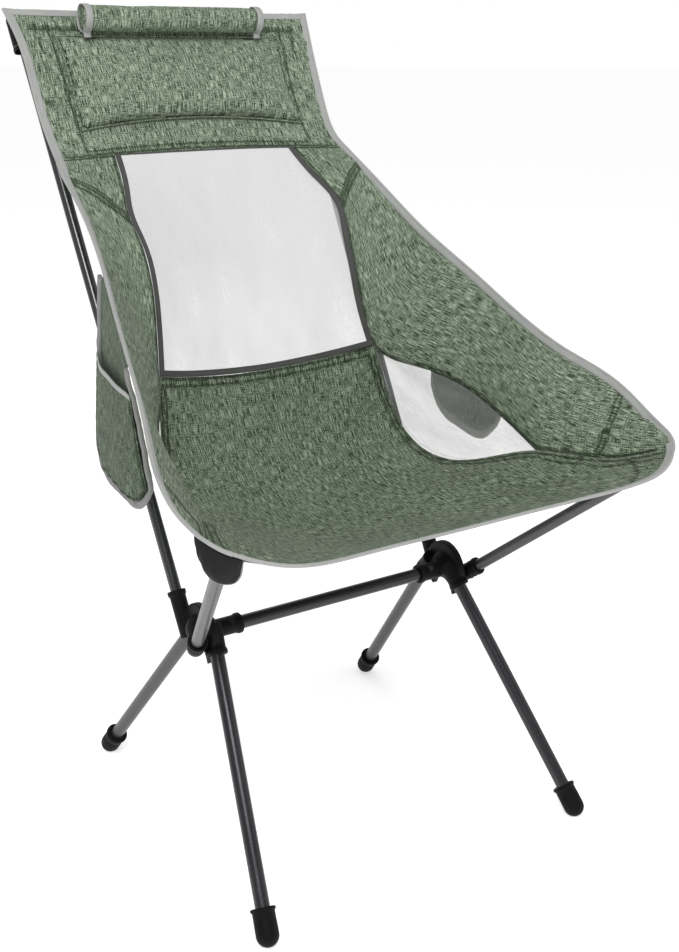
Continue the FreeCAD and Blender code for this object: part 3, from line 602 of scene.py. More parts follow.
def press_and_shade_seams(obj, lines, reach=0.0017, depth=0.0005):
    """Presses the cloth down along its stitch lines and stores a mask there, which the cloth's colour uses as
    painted shade in the grooves.
    """
    mesh = obj.data
    points = np.empty(len(mesh.vertices) * 3)
    mesh.vertices.foreach_get("co", points)
    points = points.reshape(-1, 3)
    paths = [even_row(path, normal, 0.0015) for path, normal in lines]
    dense = np.concatenate(paths)
    tree = kdtree.KDTree(len(dense))
    for index, place in enumerate(dense[:, :3]):
        tree.insert(place, index)
    tree.balance()
    # one mask for both the pressed dent and the painted shade in the seam's groove
    seam_press_and_shade = np.zeros(len(points), np.float32)
    for index, point in enumerate(points):
        _, nearest, gap = tree.find(point)
        if gap < 4 * reach:
            seam_press_and_shade[index] = np.exp(-(gap / reach) ** 2)
            points[index] -= dense[nearest, 3:] * depth * seam_press_and_shade[index]
    mesh.vertices.foreach_set("co", points.reshape(-1))
    mesh.attributes.new("seam", "FLOAT", "POINT").data.foreach_set("value", seam_press_and_shade)
    mesh.update()


TAPE_PROFILE = (
    (0.0, 0.0), (0.03, 0.8), (0.11, 1.25), (0.3, 1.4), (0.55, 1.32), (0.8, 1.2), (0.93, 1.05), (1.0, 0.7),
    (1.0, -0.7), (0.93, -1.05), (0.8, -1.2), (0.55, -1.32), (0.3, -1.4), (0.11, -1.25), (0.03, -0.8),
)


def tape_piece(name, outer, inner, material, body, nodes, height=1.0, profile=TAPE_PROFILE, wave=0.25,
               seed=1):
    """A tape folded over an edge from outer to inner, swept along it; its profile's heights are millimetres."""
    along = lengths_along(outer)
    tangent = np.gradient(outer, axis=0)
    width = inner - outer
    normal = np.cross(tangent, width)
    normal /= np.linalg.norm(normal, axis=1, keepdims=True)
    random = np.random.default_rng(seed)
    sway = sum(np.sin(2 * pi * along / pitch + random.uniform(0, 6)) for pitch in (0.031, 0.047, 0.083)) / 3
    swell = 1 + 0.10 * sum(
        np.sin(2 * pi * along / pitch + random.uniform(0, 6)) for pitch in (0.013, 0.022)) / 2
    points, cloth = [], []
    girth = 0.0
    last = None
    for share, lift in profile:
        ring = outer + width * share + normal * (lift * MM * height * swell)[:, None]
        ring = ring + normal * (sway * wave * MM)[:, None]
        if last is not None:
            girth += float(np.linalg.norm(ring - last, axis=1).mean())
        last = ring
        points.append(ring)
        cloth.append(np.stack([along, np.full(len(along), girth)], axis=1))
    grid = np.stack(points, axis=1)
    mesh = grid_mesh(name, grid, np.stack(cloth, axis=1), closed_over=True)
    obj = piece(name, closed(mesh), material, body, nodes)
    return obj, outer, width, normal


def closed(mesh):
    """Caps the open ends of a swept mesh and points its faces outwards."""
    work = bmesh.new()
    work.from_mesh(mesh)
    bmesh.ops.holes_fill(work, edges=[edge for edge in work.edges if edge.is_boundary], sides=0)
    bmesh.ops.recalc_face_normals(work, faces=work.faces)
    work.to_mesh(mesh)
    work.free()
    return mesh


def turned(name, profile, start, axis, segments=48):
    """A round part from (radius, distance) pairs along an axis, closed at both ends if they reach it."""
    axis = np.asarray(axis, float) / np.linalg.norm(axis)
    side = np.cross(axis, (0.0, 0.0, 1.0) if abs(axis[2]) < 0.9 else (0.0, 1.0, 0.0))
    side /= np.linalg.norm(side)
    other = np.cross(axis, side)
    angles = np.linspace(0, 2 * pi, segments, endpoint=False)
    spokes = np.cos(angles)[:, None] * side + np.sin(angles)[:, None] * other
    rings = [np.asarray(start) + axis * along + spokes * radius for radius, along in profile]
    grid = np.stack(rings)
    run = lengths_along(np.array([(radius, along, 0.0) for radius, along in profile]))
    cloth = np.zeros(grid.shape[:2] + (2,))
    cloth[..., 0] = run[:, None]
    cloth[..., 1] = np.linspace(0, 1, segments,
                                endpoint=False)[None, :] * 2 * pi * max(radius for radius, _ in profile)
    mesh = grid_mesh(name, grid, cloth, closed_over=True)
    work = bmesh.new()
    work.from_mesh(mesh)
    bmesh.ops.remove_doubles(work, verts=work.verts, dist=1e-6)
    bmesh.ops.holes_fill(work, edges=[edge for edge in work.edges if edge.is_boundary], sides=0)
    bmesh.ops.recalc_face_normals(work, faces=work.faces)
    work.to_mesh(mesh)
    work.free()
    return mesh


def merged(name, meshes):
    """Several meshes as one."""
    work = bmesh.new()
    for mesh in meshes:
        work.from_mesh(mesh)
    out = bpy.data.meshes.new(name)
    work.to_mesh(out)
    work.free()
    return out


# ---------------------------------------------------------------- stitches
def stitch_tree():
    """Geometry Nodes: one thread bead on each point, laid along the seam and standing off the cloth."""
    tree = bpy.data.node_groups.new("stitch_row", "GeometryNodeTree")
    face = tree.interface
    face.new_socket("Geometry", in_out="INPUT", socket_type="NodeSocketGeometry")
    for label in ("Stitch length", "Thread width", "Unevenness"):
        face.new_socket(label, in_out="INPUT", socket_type="NodeSocketFloat")
    face.new_socket("Thread", in_out="INPUT", socket_type="NodeSocketMaterial")
    face.new_socket("Geometry", in_out="OUTPUT", socket_type="NodeSocketGeometry")
    nodes, link = tree.nodes, tree.links.new
    given = nodes.new("NodeGroupInput")
    bead = nodes.new("GeometryNodeMeshUVSphere")
    bead.inputs["Segments"].default_value = 6
    bead.inputs["Rings"].default_value = 4
    bead.inputs["Radius"].default_value = 0.5
    turn = None
    for attribute, axis in (("along", "X"), ("out", "Z")):
        read = nodes.new("GeometryNodeInputNamedAttribute")
        read.data_type = "FLOAT_VECTOR"
        read.inputs["Name"].default_value = attribute
        align = nodes.new("FunctionNodeAlignRotationToVector")
        align.axis = axis
        align.pivot_axis = "AUTO" if turn is None else "X"
        link(read.outputs["Attribute"], align.inputs["Vector"])
        if turn is not None:
            link(turn.outputs["Rotation"], align.inputs["Rotation"])
        turn = align
    vary = nodes.new("FunctionNodeRandomValue")
    vary.data_type = "FLOAT"
    vary.inputs["Seed"].default_value = 11
    spread_low = nodes.new("ShaderNodeMath")
    spread_low.operation = "SUBTRACT"
    spread_low.inputs[0].default_value = 1.0
    link(given.outputs["Unevenness"], spread_low.inputs[1])
    spread_high = nodes.new("ShaderNodeMath")
    spread_high.operation = "ADD"
    spread_high.inputs[0].default_value = 1.0
    link(given.outputs["Unevenness"], spread_high.inputs[1])
    link(spread_low.outputs[0], vary.inputs[2])
    link(spread_high.outputs[0], vary.inputs[3])
    long_side = nodes.new("ShaderNodeMath")
    long_side.operation = "MULTIPLY"
    link(given.outputs["Stitch length"], long_side.inputs[0])
    link(vary.outputs[1], long_side.inputs[1])
    scale = nodes.new("ShaderNodeCombineXYZ")
    link(long_side.outputs[0], scale.inputs[0])
    link(given.outputs["Thread width"], scale.inputs[1])
    link(given.outputs["Thread width"], scale.inputs[2])
    place = nodes.new("GeometryNodeInstanceOnPoints")
    link(given.outputs["Geometry"], place.inputs["Points"])
    link(bead.outputs["Mesh"], place.inputs["Instance"])
    link(turn.outputs["Rotation"], place.inputs["Rotation"])
    link(scale.outputs[0], place.inputs["Scale"])
    real = nodes.new("GeometryNodeRealizeInstances")
    paint = nodes.new("GeometryNodeSetMaterial")
    result = nodes.new("NodeGroupOutput")
    link(place.outputs[0], real.inputs[0])
    link(real.outputs[0], paint.inputs["Geometry"])
    link(given.outputs["Thread"], paint.inputs["Material"])
    link(paint.outputs[0], result.inputs[0])
    return tree


def baked(obj):
    """The evaluated object as a plain mesh; the maker object goes away."""
    bpy.context.view_layer.update()
    graph = bpy.context.evaluated_depsgraph_get()
    mesh = bpy.data.meshes.new_from_object(obj.evaluated_get(graph))
    bpy.data.objects.remove(obj)
    return mesh


def sewn(name, rows, thread, body, length=0.0024, width=0.00075, pitch=0.0034):
    """Rows of stitches, each row a path and the direction that stands off the cloth at its points."""
    points, along, out = [], [], []
    for path, normal in rows:
        both = even_row(path, normal, pitch)
        points.append(both[:, :3])
        tangent = np.gradient(both[:, :3], axis=0)
        along.append(tangent / np.linalg.norm(tangent, axis=1, keepdims=True))
        out.append(both[:, 3:])
    points, along, out = (np.concatenate(part) for part in (points, along, out))
    mesh = bpy.data.meshes.new(name + "_points")
    mesh.from_pydata(points.tolist(), [], [])
    for label, vectors in (("along", along), ("out", out)):
        attribute = mesh.attributes.new(label, "FLOAT_VECTOR", "POINT")
        attribute.data.foreach_set("vector", vectors.reshape(-1))
    maker = bpy.data.objects.new(name + "_maker", mesh)
    bpy.context.collection.objects.link(maker)
    modifier = maker.modifiers.new("stitches", "NODES")
    modifier.node_group = STITCHES
    inputs = {item.name: item.identifier for item in STITCHES.interface.items_tree if item.in_out == "INPUT"}
    modifier[inputs["Stitch length"]] = length
    modifier[inputs["Thread width"]] = width
    modifier[inputs["Unevenness"]] = 0.12
    modifier[inputs["Thread"]] = FINISH[thread]
    mesh = baked(maker)
    mesh.name = name
    for label in ("along", "out"):
        if label in mesh.attributes:
            mesh.attributes.remove(mesh.attributes[label])
    return piece(name, mesh, FINISH[thread], body)


def even_row(path, normal, pitch):
    """Points every pitch along a path, with the normal that belongs to each."""
    run = lengths_along(path)
    count = max(2, int(round(run[-1] / pitch)) + 1)
    wanted = np.linspace(pitch / 2, run[-1] - pitch / 2, count)
    both = np.concatenate([path, normal], axis=1)
    return np.stack([np.interp(wanted, run, both[:, axis]) for axis in range(6)], axis=1)


def lane(grid, normal, lift, down=None, over=None, start=0.0, stop=1.0):
    """A path along a grid at a fixed share down or over it, lifted off the cloth, with its normals."""
    both = np.concatenate([grid + normal * lift, normal], axis=2)
    if down is not None:
        place = down * (len(both) - 1)
        low = int(place) if place < len(both) - 1 else len(both) - 2
        line = both[low] * (1 - place + low) + both[low + 1] * (place - low)
    else:
        place = over * (both.shape[1] - 1)
        low = int(place) if place < both.shape[1] - 1 else both.shape[1] - 2
        line = both[:, low] * (1 - place + low) + both[:, low + 1] * (place - low)
    first, last = int(start * (len(line) - 1)), int(stop * (len(line) - 1)) + 1
    line = line[first:last]
    return line[:, :3], line[:, 3:]


# ---------------------------------------------------------------- guide curves of the sling's left half
EDGE_HEAD = at((220, 423, 969), (212, 393, 926), (209, 356, 855), (208, 318, 806), (210, 297, 793))
EDGE_SHOULDER = at((210, 297, 793), (212, 284, 785), (214, 271, 777))
EDGE_WING = at(
    (214, 271, 777), (218, 205, 741), (228, 134, 698), (247, 53, 652), (264, -23, 608),
    (283, -94, 573), (304, -162, 545), (308, -200, 524), (302, -248, 506),
)
EDGE_CORNER = at((302, -248, 506), (297, -260, 502), (289, -271, 497))
EDGE_FRONT = at(
    (0, -254, 451), (80, -261, 455), (160, -281, 465), (215, -300, 477), (245, -298, 483), (270, -286, 490),
    (289, -271, 497),
)
WINDOW_SIDE = at(
    (130, 308, 796), (141, 259, 760), (152, 219, 729), (148, 197, 700), (146, 177, 655),
    (150, 161, 596), (157, 145, 548),
)
SHOULDER_SEAM = at((214, 271, 777), (188, 249, 765), (168, 233, 748), (152, 219, 729))
MESH_TOP = at((157, 145, 548), (190, 73, 526), (216, 24, 510), (231, -30, 484), (230, -106, 456))
MESH_BOTTOM = at((157, 145, 548), (170, 118, 470), (179, 88, 432), (192, 10, 418), (230, -106, 456))
CORNER_SEAM = at((230, -106, 456), (262, -192, 465), (289, -271, 497))
CENTRE_HEAD = at((0, 428, 968), (0, 380, 884), (0, 320, 797))
CENTRE_WINDOW = at((0, 320, 797), (0, 246, 660), (0, 174, 528))
CENTRE_SEAT = at(
    (0, 174, 528), (0, 138, 458), (0, 84, 405), (0, 10, 383), (0, -80, 388), (0, -175, 416), (0, -254, 451),
)
POCKET_HANGER = at((233, 123, 683), (249, 52, 645), (266, -20, 602))
POCKET_HEM = at((245, 131, 482), (246, 112, 452), (245, 66, 438), (244, 16, 436), (242, -16, 467))
ROLL_CENTRE = at((0, 395.4, 959))[0]
BAND = 0.009
LOOP_FROM_MIDDLE = 0.1235

MEMBERS = {
    "front_leg": (at((179, -30.8, 256))[0], at((225.3, -224.5, 7.6))[0]),
    "rear_leg": (at((175.3, 41.6, 256))[0], at((214.3, 241.2, 7.9))[0]),
    "front_pole": (at((205.5, -35, 282))[0], at((285.7, -257.2, 474.9))[0]),
    "rear_pole": (at((187, 58, 306))[0], at((200, 433, 954))[0]),
}


def member_line(name, side):
    """Mouth, far end and direction of a leg or pole on one side."""
    mouth, end = (mirrored(point, side) for point in MEMBERS[name])
    axis = (end - mouth) / np.linalg.norm(end - mouth)
    return mouth, end, axis


# ---------------------------------------------------------------- headrest, pillow, roll
def build_headrest():
    rows, columns = 84, 175
    edge = spread(EDGE_HEAD, rows)
    centre = spread(CENTRE_HEAD, rows)
    grid = across(edge - (0.0008, 0, 0), centre, columns)
    top_outer, top_inner = grid[0].copy(), at_distance(grid, BAND)

    def relief(points, cloth):
        lift = ripple(cloth, 0.16, 0.5, 3)
        lift += crease(points, (-196, 410, 948), (-150, 330, 815), 12, 1.6)
        lift += crease(points, (198, 402, 940), (172, 330, 812), 10, 1.8)
        lift += crease(points, (206, 420, 962), (168, 398, 930), 7, -1.8)
        lift += crease(points, (-120, 330, 814), (150, 330, 812), 8, 1.4)
        lift += crease(points, (160, 400, 930), (205, 360, 862), 8, 1.2)
        lift += pucker(cloth[..., 1], cloth[..., 0], 0.5, 4)
        lift += pucker(cloth[..., 1].max() - cloth[..., 1], cloth[..., 0], 0.45, 5)
        return lift * 0.8

    obj, grid, normal = sheet_piece(
        "headrest_cloth", grid, relief, FINISH["cloth"], "frame_and_seat",
        ["headrest_panel"])
    binding, *_ = tape_piece(
        "top_binding_tape", top_outer, top_inner, FINISH["binding"], "frame_and_seat",
        ["top_binding"])
    lift = 0.0007
    lines = []
    for over in (0.105, 0.895):
        lines.append(lane(grid, normal, lift, over=over, start=0.12, stop=0.955))
    lines += [lane(grid, normal, lift, down=0.955, start=0.11, stop=0.89)]
    lines += [lane(grid, normal, lift, down=0.985, start=0.04, stop=0.96)]
    lines += [lane(grid, normal, lift, down=down, start=first, stop=first + 0.16)
              for down in (0.115, 0.135) for first in (0.05, 0.79)]
    for over in (0.065, 0.935):
        lines.append(lane(grid, normal, lift, over=over, start=0.10, stop=0.30))
    press_and_shade_seams(obj, lines)
    stitches = sewn("headrest_stitches", lines, "dark_thread", "frame_and_seat")


def pillow_start(rows=25, columns=45):
    """The sewn pad before it swells: thick near its lower edge, its sides drawn in between the corners."""
    down = np.linspace(0, 1, rows)
    edge = spread(EDGE_HEAD, rows, 0.185, 0.80)
    centre = spread(CENTRE_HEAD, rows, 0.185, 0.80)
    forward = np.cross(CENTRE_HEAD[-1] - CENTRE_HEAD[0], (1.0, 0.0, 0.0))
    forward /= np.linalg.norm(forward)
    forward *= -np.sign(forward[1])
    back, front = [], []
    for i in range(rows):
        drawn = 0.1625 - 0.005 * sin(pi * down[i])
        over = np.linspace(-1, 1, columns)
        x = over * drawn
        point = centre[i] + (edge[i] - centre[i]) * ((x / edge[i][0]) ** 2)[:, None]
        point[:, 0] = x
        if down[i] < 0.86:
            rise = (down[i] / 0.86) ** 0.62
        else:
            rise = max(0.0, 1 - ((down[i] - 0.86) / 0.14) ** 2) ** 0.5
        swell = rise * (1 - over ** 6) ** 0.7
        lower = 0.006 * (1 - over ** 2) * max(0.0, down[i] - 0.85) / 0.15
        slope = (centre[-1] - centre[0]) / np.linalg.norm(centre[-1] - centre[0])
        point = point - slope * lower[:, None]
        back.append(point + forward * 0.0022)
        front.append(point + forward * (0.0040 + 0.0205 * swell)[:, None])
    return np.stack(back), np.stack(front), forward


def build_pillow():
    back, front, forward = pillow_start()
    rows, columns = back.shape[:2]
    work = bmesh.new()
    layers = [[[work.verts.new(point) for point in row] for row in grid] for grid in (back, front)]
    for i in range(rows - 1):
        for j in range(columns - 1):
            for layer in layers:
                work.faces.new((layer[i][j], layer[i + 1][j], layer[i + 1][j + 1], layer[i][j + 1]))
    rim = [(0, j) for j in range(columns)] + [(i, columns - 1) for i in range(1, rows)]
    rim += [(rows - 1, j) for j in range(columns - 2, -1, -1)] + [(i, 0) for i in range(rows - 2, 0, -1)]
    for (i, j), (k, l) in zip(rim, rim[1:] + rim[:1]):
        work.faces.new((layers[0][i][j], layers[0][k][l], layers[1][k][l], layers[1][i][j]))
    bmesh.ops.recalc_face_normals(work, faces=work.faces)
    mesh = bpy.data.meshes.new("headrest_pillow_cushion")
    work.to_mesh(mesh)
    work.free()
    maker = bpy.data.objects.new("pillow_maker", mesh)
    bpy.context.collection.objects.link(maker)
    remesh = maker.modifiers.new("remesh", "REMESH")
    remesh.mode = "VOXEL"
    remesh.voxel_size = 0.0045
    mesh = baked(maker)
    mesh = swollen(mesh, back, forward)
    maker = bpy.data.objects.new("pillow_smoother", mesh)
    bpy.context.collection.objects.link(maker)
    fair = maker.modifiers.new("fair", "SMOOTH")
    fair.factor, fair.iterations = 0.5, 2
    finer = maker.modifiers.new("finer", "SUBSURF")
    finer.levels = finer.render_levels = 1
    mesh = baked(maker)
    mesh.name = "headrest_pillow_cushion"
    points = np.empty(len(mesh.vertices) * 3)
    mesh.vertices.foreach_get("co", points)
    points = points.reshape(-1, 3)
    slope = CENTRE_HEAD[-1] - CENTRE_HEAD[0]
    slope /= np.linalg.norm(slope)
    flat = np.stack([points[:, 0], (points - CENTRE_HEAD[0]) @ slope], axis=1)
    layer = mesh.uv_layers.new(name="cloth")
    corners = np.empty(len(mesh.loops), int)
    mesh.loops.foreach_get("vertex_index", corners)
    layer.data.foreach_set("uv", flat[corners].reshape(-1))
    pillow = piece("headrest_pillow_cushion", mesh, FINISH["cloth"], "frame_and_seat",
                   ["headrest_pillow"])
    around = np.concatenate([back[:, 0], back[-1, 1:], back[-2::-1, -1], back[0, -2:0:-1], back[:1, 0]])
    around = around + forward * 0.0012
    path = resampled(around, 0.004)
    ring = seam_tube("pillow_seam_welt", path, 0.0013)
    piece("pillow_seam_welt", ring, FINISH["cloth"], "frame_and_seat")


def swollen(mesh, back, forward):
    """Cloth pressure from inside for twenty frames, with each point's way capped."""
    start = np.empty(len(mesh.vertices) * 3)
    mesh.vertices.foreach_get("co", start)
    start = start.reshape(-1, 3)
    obj = bpy.data.objects.new("pillow_sim", mesh)
    bpy.context.collection.objects.link(obj)
    rim = np.concatenate([back[:, 0], back[-1], back[:, -1], back[0]])
    held = obj.vertex_groups.new(name="held")
    for index, point in enumerate(start):
        gap = np.linalg.norm(rim - point, axis=1).min()
        inside = np.dot(point - back[len(back) // 2, back.shape[1] // 2], forward)
        if gap < 0.007 or inside < 0.0035:
            held.add([index], 1.0, "REPLACE")
    cloth = obj.modifiers.new("cloth", "CLOTH")
    settings = cloth.settings
    settings.quality = 6
    settings.mass = 0.25
    settings.tension_stiffness = settings.compression_stiffness = 18.0
    settings.shear_stiffness = 6.0
    settings.bending_stiffness = 0.4
    settings.use_pressure = True
    settings.uniform_pressure_force = 4.0
    settings.effector_weights.gravity = 0.0
    settings.vertex_group_mass = "held"
    cloth.collision_settings.use_collision = False
    cloth.point_cache.frame_start, cloth.point_cache.frame_end = 1, 20
    scene = bpy.context.scene
    for number in range(1, 21):
        scene.frame_set(number)
    graph = bpy.context.evaluated_depsgraph_get()
    result = bpy.data.meshes.new_from_object(obj.evaluated_get(graph))
    ended = np.empty(len(result.vertices) * 3)
    result.vertices.foreach_get("co", ended)
    way = ended.reshape(-1, 3) - start
    size = np.linalg.norm(way, axis=1, keepdims=True)
    way *= np.minimum(1.0, 0.010 / np.maximum(size, 1e-9))
    result.vertices.foreach_set("co", (start + way).reshape(-1))
    bpy.data.objects.remove(obj)
    scene.frame_set(1)
    return result


def seam_tube(name, path, radius, segments=8):
    """A thin round welt along a path."""
    tangent = np.gradient(path, axis=0)
    tangent /= np.linalg.norm(tangent, axis=1, keepdims=True)
    side = np.cross(tangent, (0.0, 0.5, 0.86))
    side /= np.maximum(np.linalg.norm(side, axis=1, keepdims=True), 1e-9)
    other = np.cross(tangent, side)
    angles = np.linspace(0, 2 * pi, segments, endpoint=False)
    grid = np.stack([path + (side * cos(a) + other * sin(a)) * radius for a in angles], axis=1)
    along = lengths_along(path)
    cloth = np.stack([np.tile(along[:, None], (1, segments)), np.tile(angles * radius, (len(path), 1))],
                     axis=2)
    return closed(grid_mesh(name, grid, cloth, closed_over=True))


def build_roll():
    """The rolled stuff sack: a spiral of cloth with soft dents, its ends showing the layers."""
    stations, ring = 96, 60
    length, radius = 0.256, 0.0158
    random = np.random.default_rng(8)
    phases = random.uniform(0, 6, 6)
    xs = np.linspace(-length / 2, length / 2, stations)
    angles = np.linspace(0, 2 * pi, ring, endpoint=False)
    rings, cloth = [], []
    for x in xs:
        near_end = max(0.0, (abs(x) - length / 2 + 0.006) / 0.006)
        r = radius - 0.0035 * near_end ** 2
        dents = 0.00035 * np.sin(3 * angles + 40 * x + phases[0])
        dents = dents + 0.00028 * np.sin(5 * angles - 63 * x + phases[1])
        dents += 0.0004 * np.sin(70 * x + phases[2] + np.sin(angles))
        for loop_x in (-LOOP_FROM_MIDDLE, LOOP_FROM_MIDDLE):
            dents -= 0.0006 * np.exp(-((x - loop_x) / 0.007) ** 2)
        lap = 0.0011 * (1 - ((angles - 0.35) % (2 * pi)) / (2 * pi))
        r = np.minimum(r + dents + lap - 0.0005, 0.0160)
        rings.append(np.stack([np.full(ring, x), ROLL_CENTRE[1] - r * np.cos(angles),
                               ROLL_CENTRE[2] + r * np.sin(angles)], axis=1))
        cloth.append(np.stack([np.full(ring, x), angles * radius], axis=1))
    grid = np.stack(rings)
    mesh = closed_ends(grid_mesh("rolled_sack", grid, np.stack(cloth), closed_over=True), grid, rings=6)
    roll = piece("rolled_sack", mesh, FINISH["cloth"], "bag", ["rolled_bag"])
    meshes = []
    for side in SIDES.values():
        meshes += [loop_mesh(side * LOOP_FROM_MIDDLE), loop_tab(side * LOOP_FROM_MIDDLE)]
    piece("sack_loops", merged("sack_loops", meshes), FINISH["binding"], "frame_and_seat",
          ["bag_loops"])


def closed_ends(mesh, grid, rings):
    """Ends of the roll: rings stepping in and out like the layers of rolled cloth."""
    work = bmesh.new()
    work.from_mesh(mesh)
    columns = grid.shape[1]
    layer = work.loops.layers.uv.active
    for first, sign in ((0, -1), (len(grid) - 1, 1)):
        work.verts.ensure_lookup_table()
        last = [work.verts[first * columns + j] for j in range(columns)]
        centre = grid[first].mean(axis=0)
        for step in range(1, rings * 2 + 1):
            share = 1 - step / (rings * 2 + 1)
            shift = -sign * (0.0010 if step % 2 else 0.0)
            ring = []
            for j in range(columns):
                twisted = share + 0.5 / (rings * 2 + 1) * j / columns
                point = centre + (grid[first][j] - centre) * twisted
                point = point + np.array((shift, 0, 0))
                ring.append(work.verts.new(point))
            for j in range(columns):
                k = (j + 1) % columns
                face = work.faces.new((last[j], last[k], ring[k], ring[j]))
                for loop in face.loops:
                    loop[layer].uv = (loop.vert.co.y, loop.vert.co.z)
            last = ring
        face = work.faces.new(last)
        for loop in face.loops:
            loop[layer].uv = (loop.vert.co.y, loop.vert.co.z)
    bmesh.ops.recalc_face_normals(work, faces=work.faces)
    work.to_mesh(mesh)
    work.free()
    return mesh


def loop_mesh(x):
    """A webbing loop round the roll, its tail folded and sewn at the front."""
    count = 64
    angles = np.linspace(0, 2 * pi, count, endpoint=False)
    outer_r, inner_r = 0.01775, 0.01645
    shape = ((-1.0, 0.0), (-0.92, 0.8), (0.0, 1.0), (0.92, 0.8), (1.0, 0.0), (0.92, -0.8), (0.0, -0.75),
             (-0.92, -0.8))
    half_width = 0.0048
    rings, cloth = [], []
    middle = (outer_r + inner_r) / 2
    thick = (outer_r - inner_r) / 2
    for angle in angles:
        radial = np.array((0.0, -cos(angle), sin(angle)))
        ring = [ROLL_CENTRE + (x + share * half_width + 0.0004 * sin(3 * angle), 0,
                               0) + radial * (middle + lift * thick)
                for share, lift in shape]
        rings.append(ring)
        cloth.append([(angle * middle, share * half_width) for share, _ in shape])
    grid = np.array(rings)
    grid = np.concatenate([grid, grid[:1]])
    flat = np.array(cloth)
    flat = np.concatenate([flat, flat[-1:] + (flat[1] - flat[0])])
    mesh = grid_mesh(f"loop_{x}", grid, flat, closed_over=True)
    work = bmesh.new()
    work.from_mesh(mesh)
    bmesh.ops.remove_doubles(work, verts=work.verts, dist=1e-7)
    bmesh.ops.recalc_face_normals(work, faces=work.faces)
    work.to_mesh(mesh)
    work.free()
    return mesh


def loop_tab(x):
    """The loop's tail, folded and laid flat on the headrest under the roll."""
    slope = (CENTRE_HEAD[-1] - CENTRE_HEAD[0]) / np.linalg.norm(CENTRE_HEAD[-1] - CENTRE_HEAD[0])
    forward = np.array((0.0, slope[2], -slope[1]))
    start = ROLL_CENTRE + (x, 0, 0) + slope * 0.0100 - forward * 0.0020
    steps = np.linspace(0, 1, 14)
    path = [start + slope * 0.012 * t + forward * (0.0022 * (1 - t) ** 2 - 0.0066 * t) for t in steps]
    ring = ((-0.0048, 0.0), (-0.0044, 0.0008), (0.0044, 0.0008), (0.0048, 0.0), (0.0044, -0.0008),
            (-0.0044, -0.0008))
    grid = np.array([[point + (over, 0, 0) + forward * lift for over, lift in ring] for point in path])
    cloth = np.array([[(t * 0.012, over) for over, _ in ring] for t in steps])
    return closed(grid_mesh(f"tab_{x}", grid, cloth, closed_over=True))


# ---------------------------------------------------------------- window, tapes, seat
FLAT_TAPE = ((0.0, 0.0), (0.04, 0.42), (0.2, 0.5), (0.8, 0.5), (0.96, 0.42), (1.0, 0.0),
             (0.96, -0.42), (0.8, -0.5), (0.2, -0.5), (0.04, -0.42))


def flat_tape(name, first, second, finish, nodes=(), lift=0.0009, target=SITTER, seed=2,
              body="frame_and_seat"):
    """A tape sewn flat on a panel between two lines, on the side facing target; with its stitch rows."""
    strip = between(first, second, 3)
    normal = facing(strip, target)[:, 1]
    obj, outer, width, _ = tape_piece(
        name, first + normal * lift, second + normal * lift, FINISH[finish], body, nodes,
        profile=FLAT_TAPE, wave=0.12, seed=seed)
    rows = [(outer + width * share + normal * 0.0006, normal) for share in (0.16, 0.84)]
    return obj, rows


def build_window():
    rows, columns = 110, 111
    edge = spread(WINDOW_SIDE, rows)
    centre = spread(CENTRE_WINDOW, rows)
    grid = across(edge, centre, columns)

    def relief(points, cloth):
        lift = ripple(cloth, 0.14, 0.5, 21)
        lift += crease(points, (-120, 300, 780), (-40, 240, 655), 10, 1.6)
        lift += crease(points, (-60, 305, 785), (30, 215, 610), 9, 1.3)
        lift += crease(points, (40, 300, 775), (100, 205, 600), 9, 1.1)
        lift += crease(points, (130, 200, 700), (60, 190, 590), 8, -1.0)
        lift += crease(points, (-140, 170, 600), (-30, 185, 570), 9, 1.2)
        return lift

    obj, grid, _ = sheet_piece("back_net", grid, relief, FINISH["net"], "frame_and_seat",
                                    ["mesh_window_panel"], thickness=0.0005)
    tapes, rows_of_stitches = [], []
    for hand, side in SIDES.items():
        first = mirrored(edge, side)
        second = mirrored(towards(edge, centre, 0.008), side)
        tape, stitches = flat_tape(f"window_tape_{hand}", first, second, "charcoal",
                                   seed=side + 5)
        tapes.append(tape)
        rows_of_stitches += stitches
    top_second = grid[-1] + (grid[-2] - grid[-1]) / np.linalg.norm(grid[-2] - grid[-1], axis=1,
                                                                   keepdims=True) * 0.008
    tape, stitches = flat_tape("window_tape_lower", grid[-1], top_second, "charcoal",
                               ["window_tape"],
                               lift=0.0017, seed=9)
    tapes.append(tape)
    rows_of_stitches += stitches
    upper = towards(grid[0], grid[4], 0.0022)
    tape, _ = flat_tape("window_seam_upper", grid[0], upper, "charcoal", lift=0.0007,
                        seed=10)
    tapes.append(tape)
    sewing = sewn("window_stitches", rows_of_stitches, "black_thread", "frame_and_seat")
    tapes + [sewing]


def front_row(columns):
    """Points of the seat's front edge, evenly spaced sideways."""
    knots = np.concatenate([EDGE_FRONT[:0:-1] * (-1, 1, 1), EDGE_FRONT])
    x = np.linspace(knots[0, 0], knots[-1, 0], columns)
    return np.concatenate([x[:, None], cubic(knots[:, 0], knots[:, 1:], x)], axis=1)


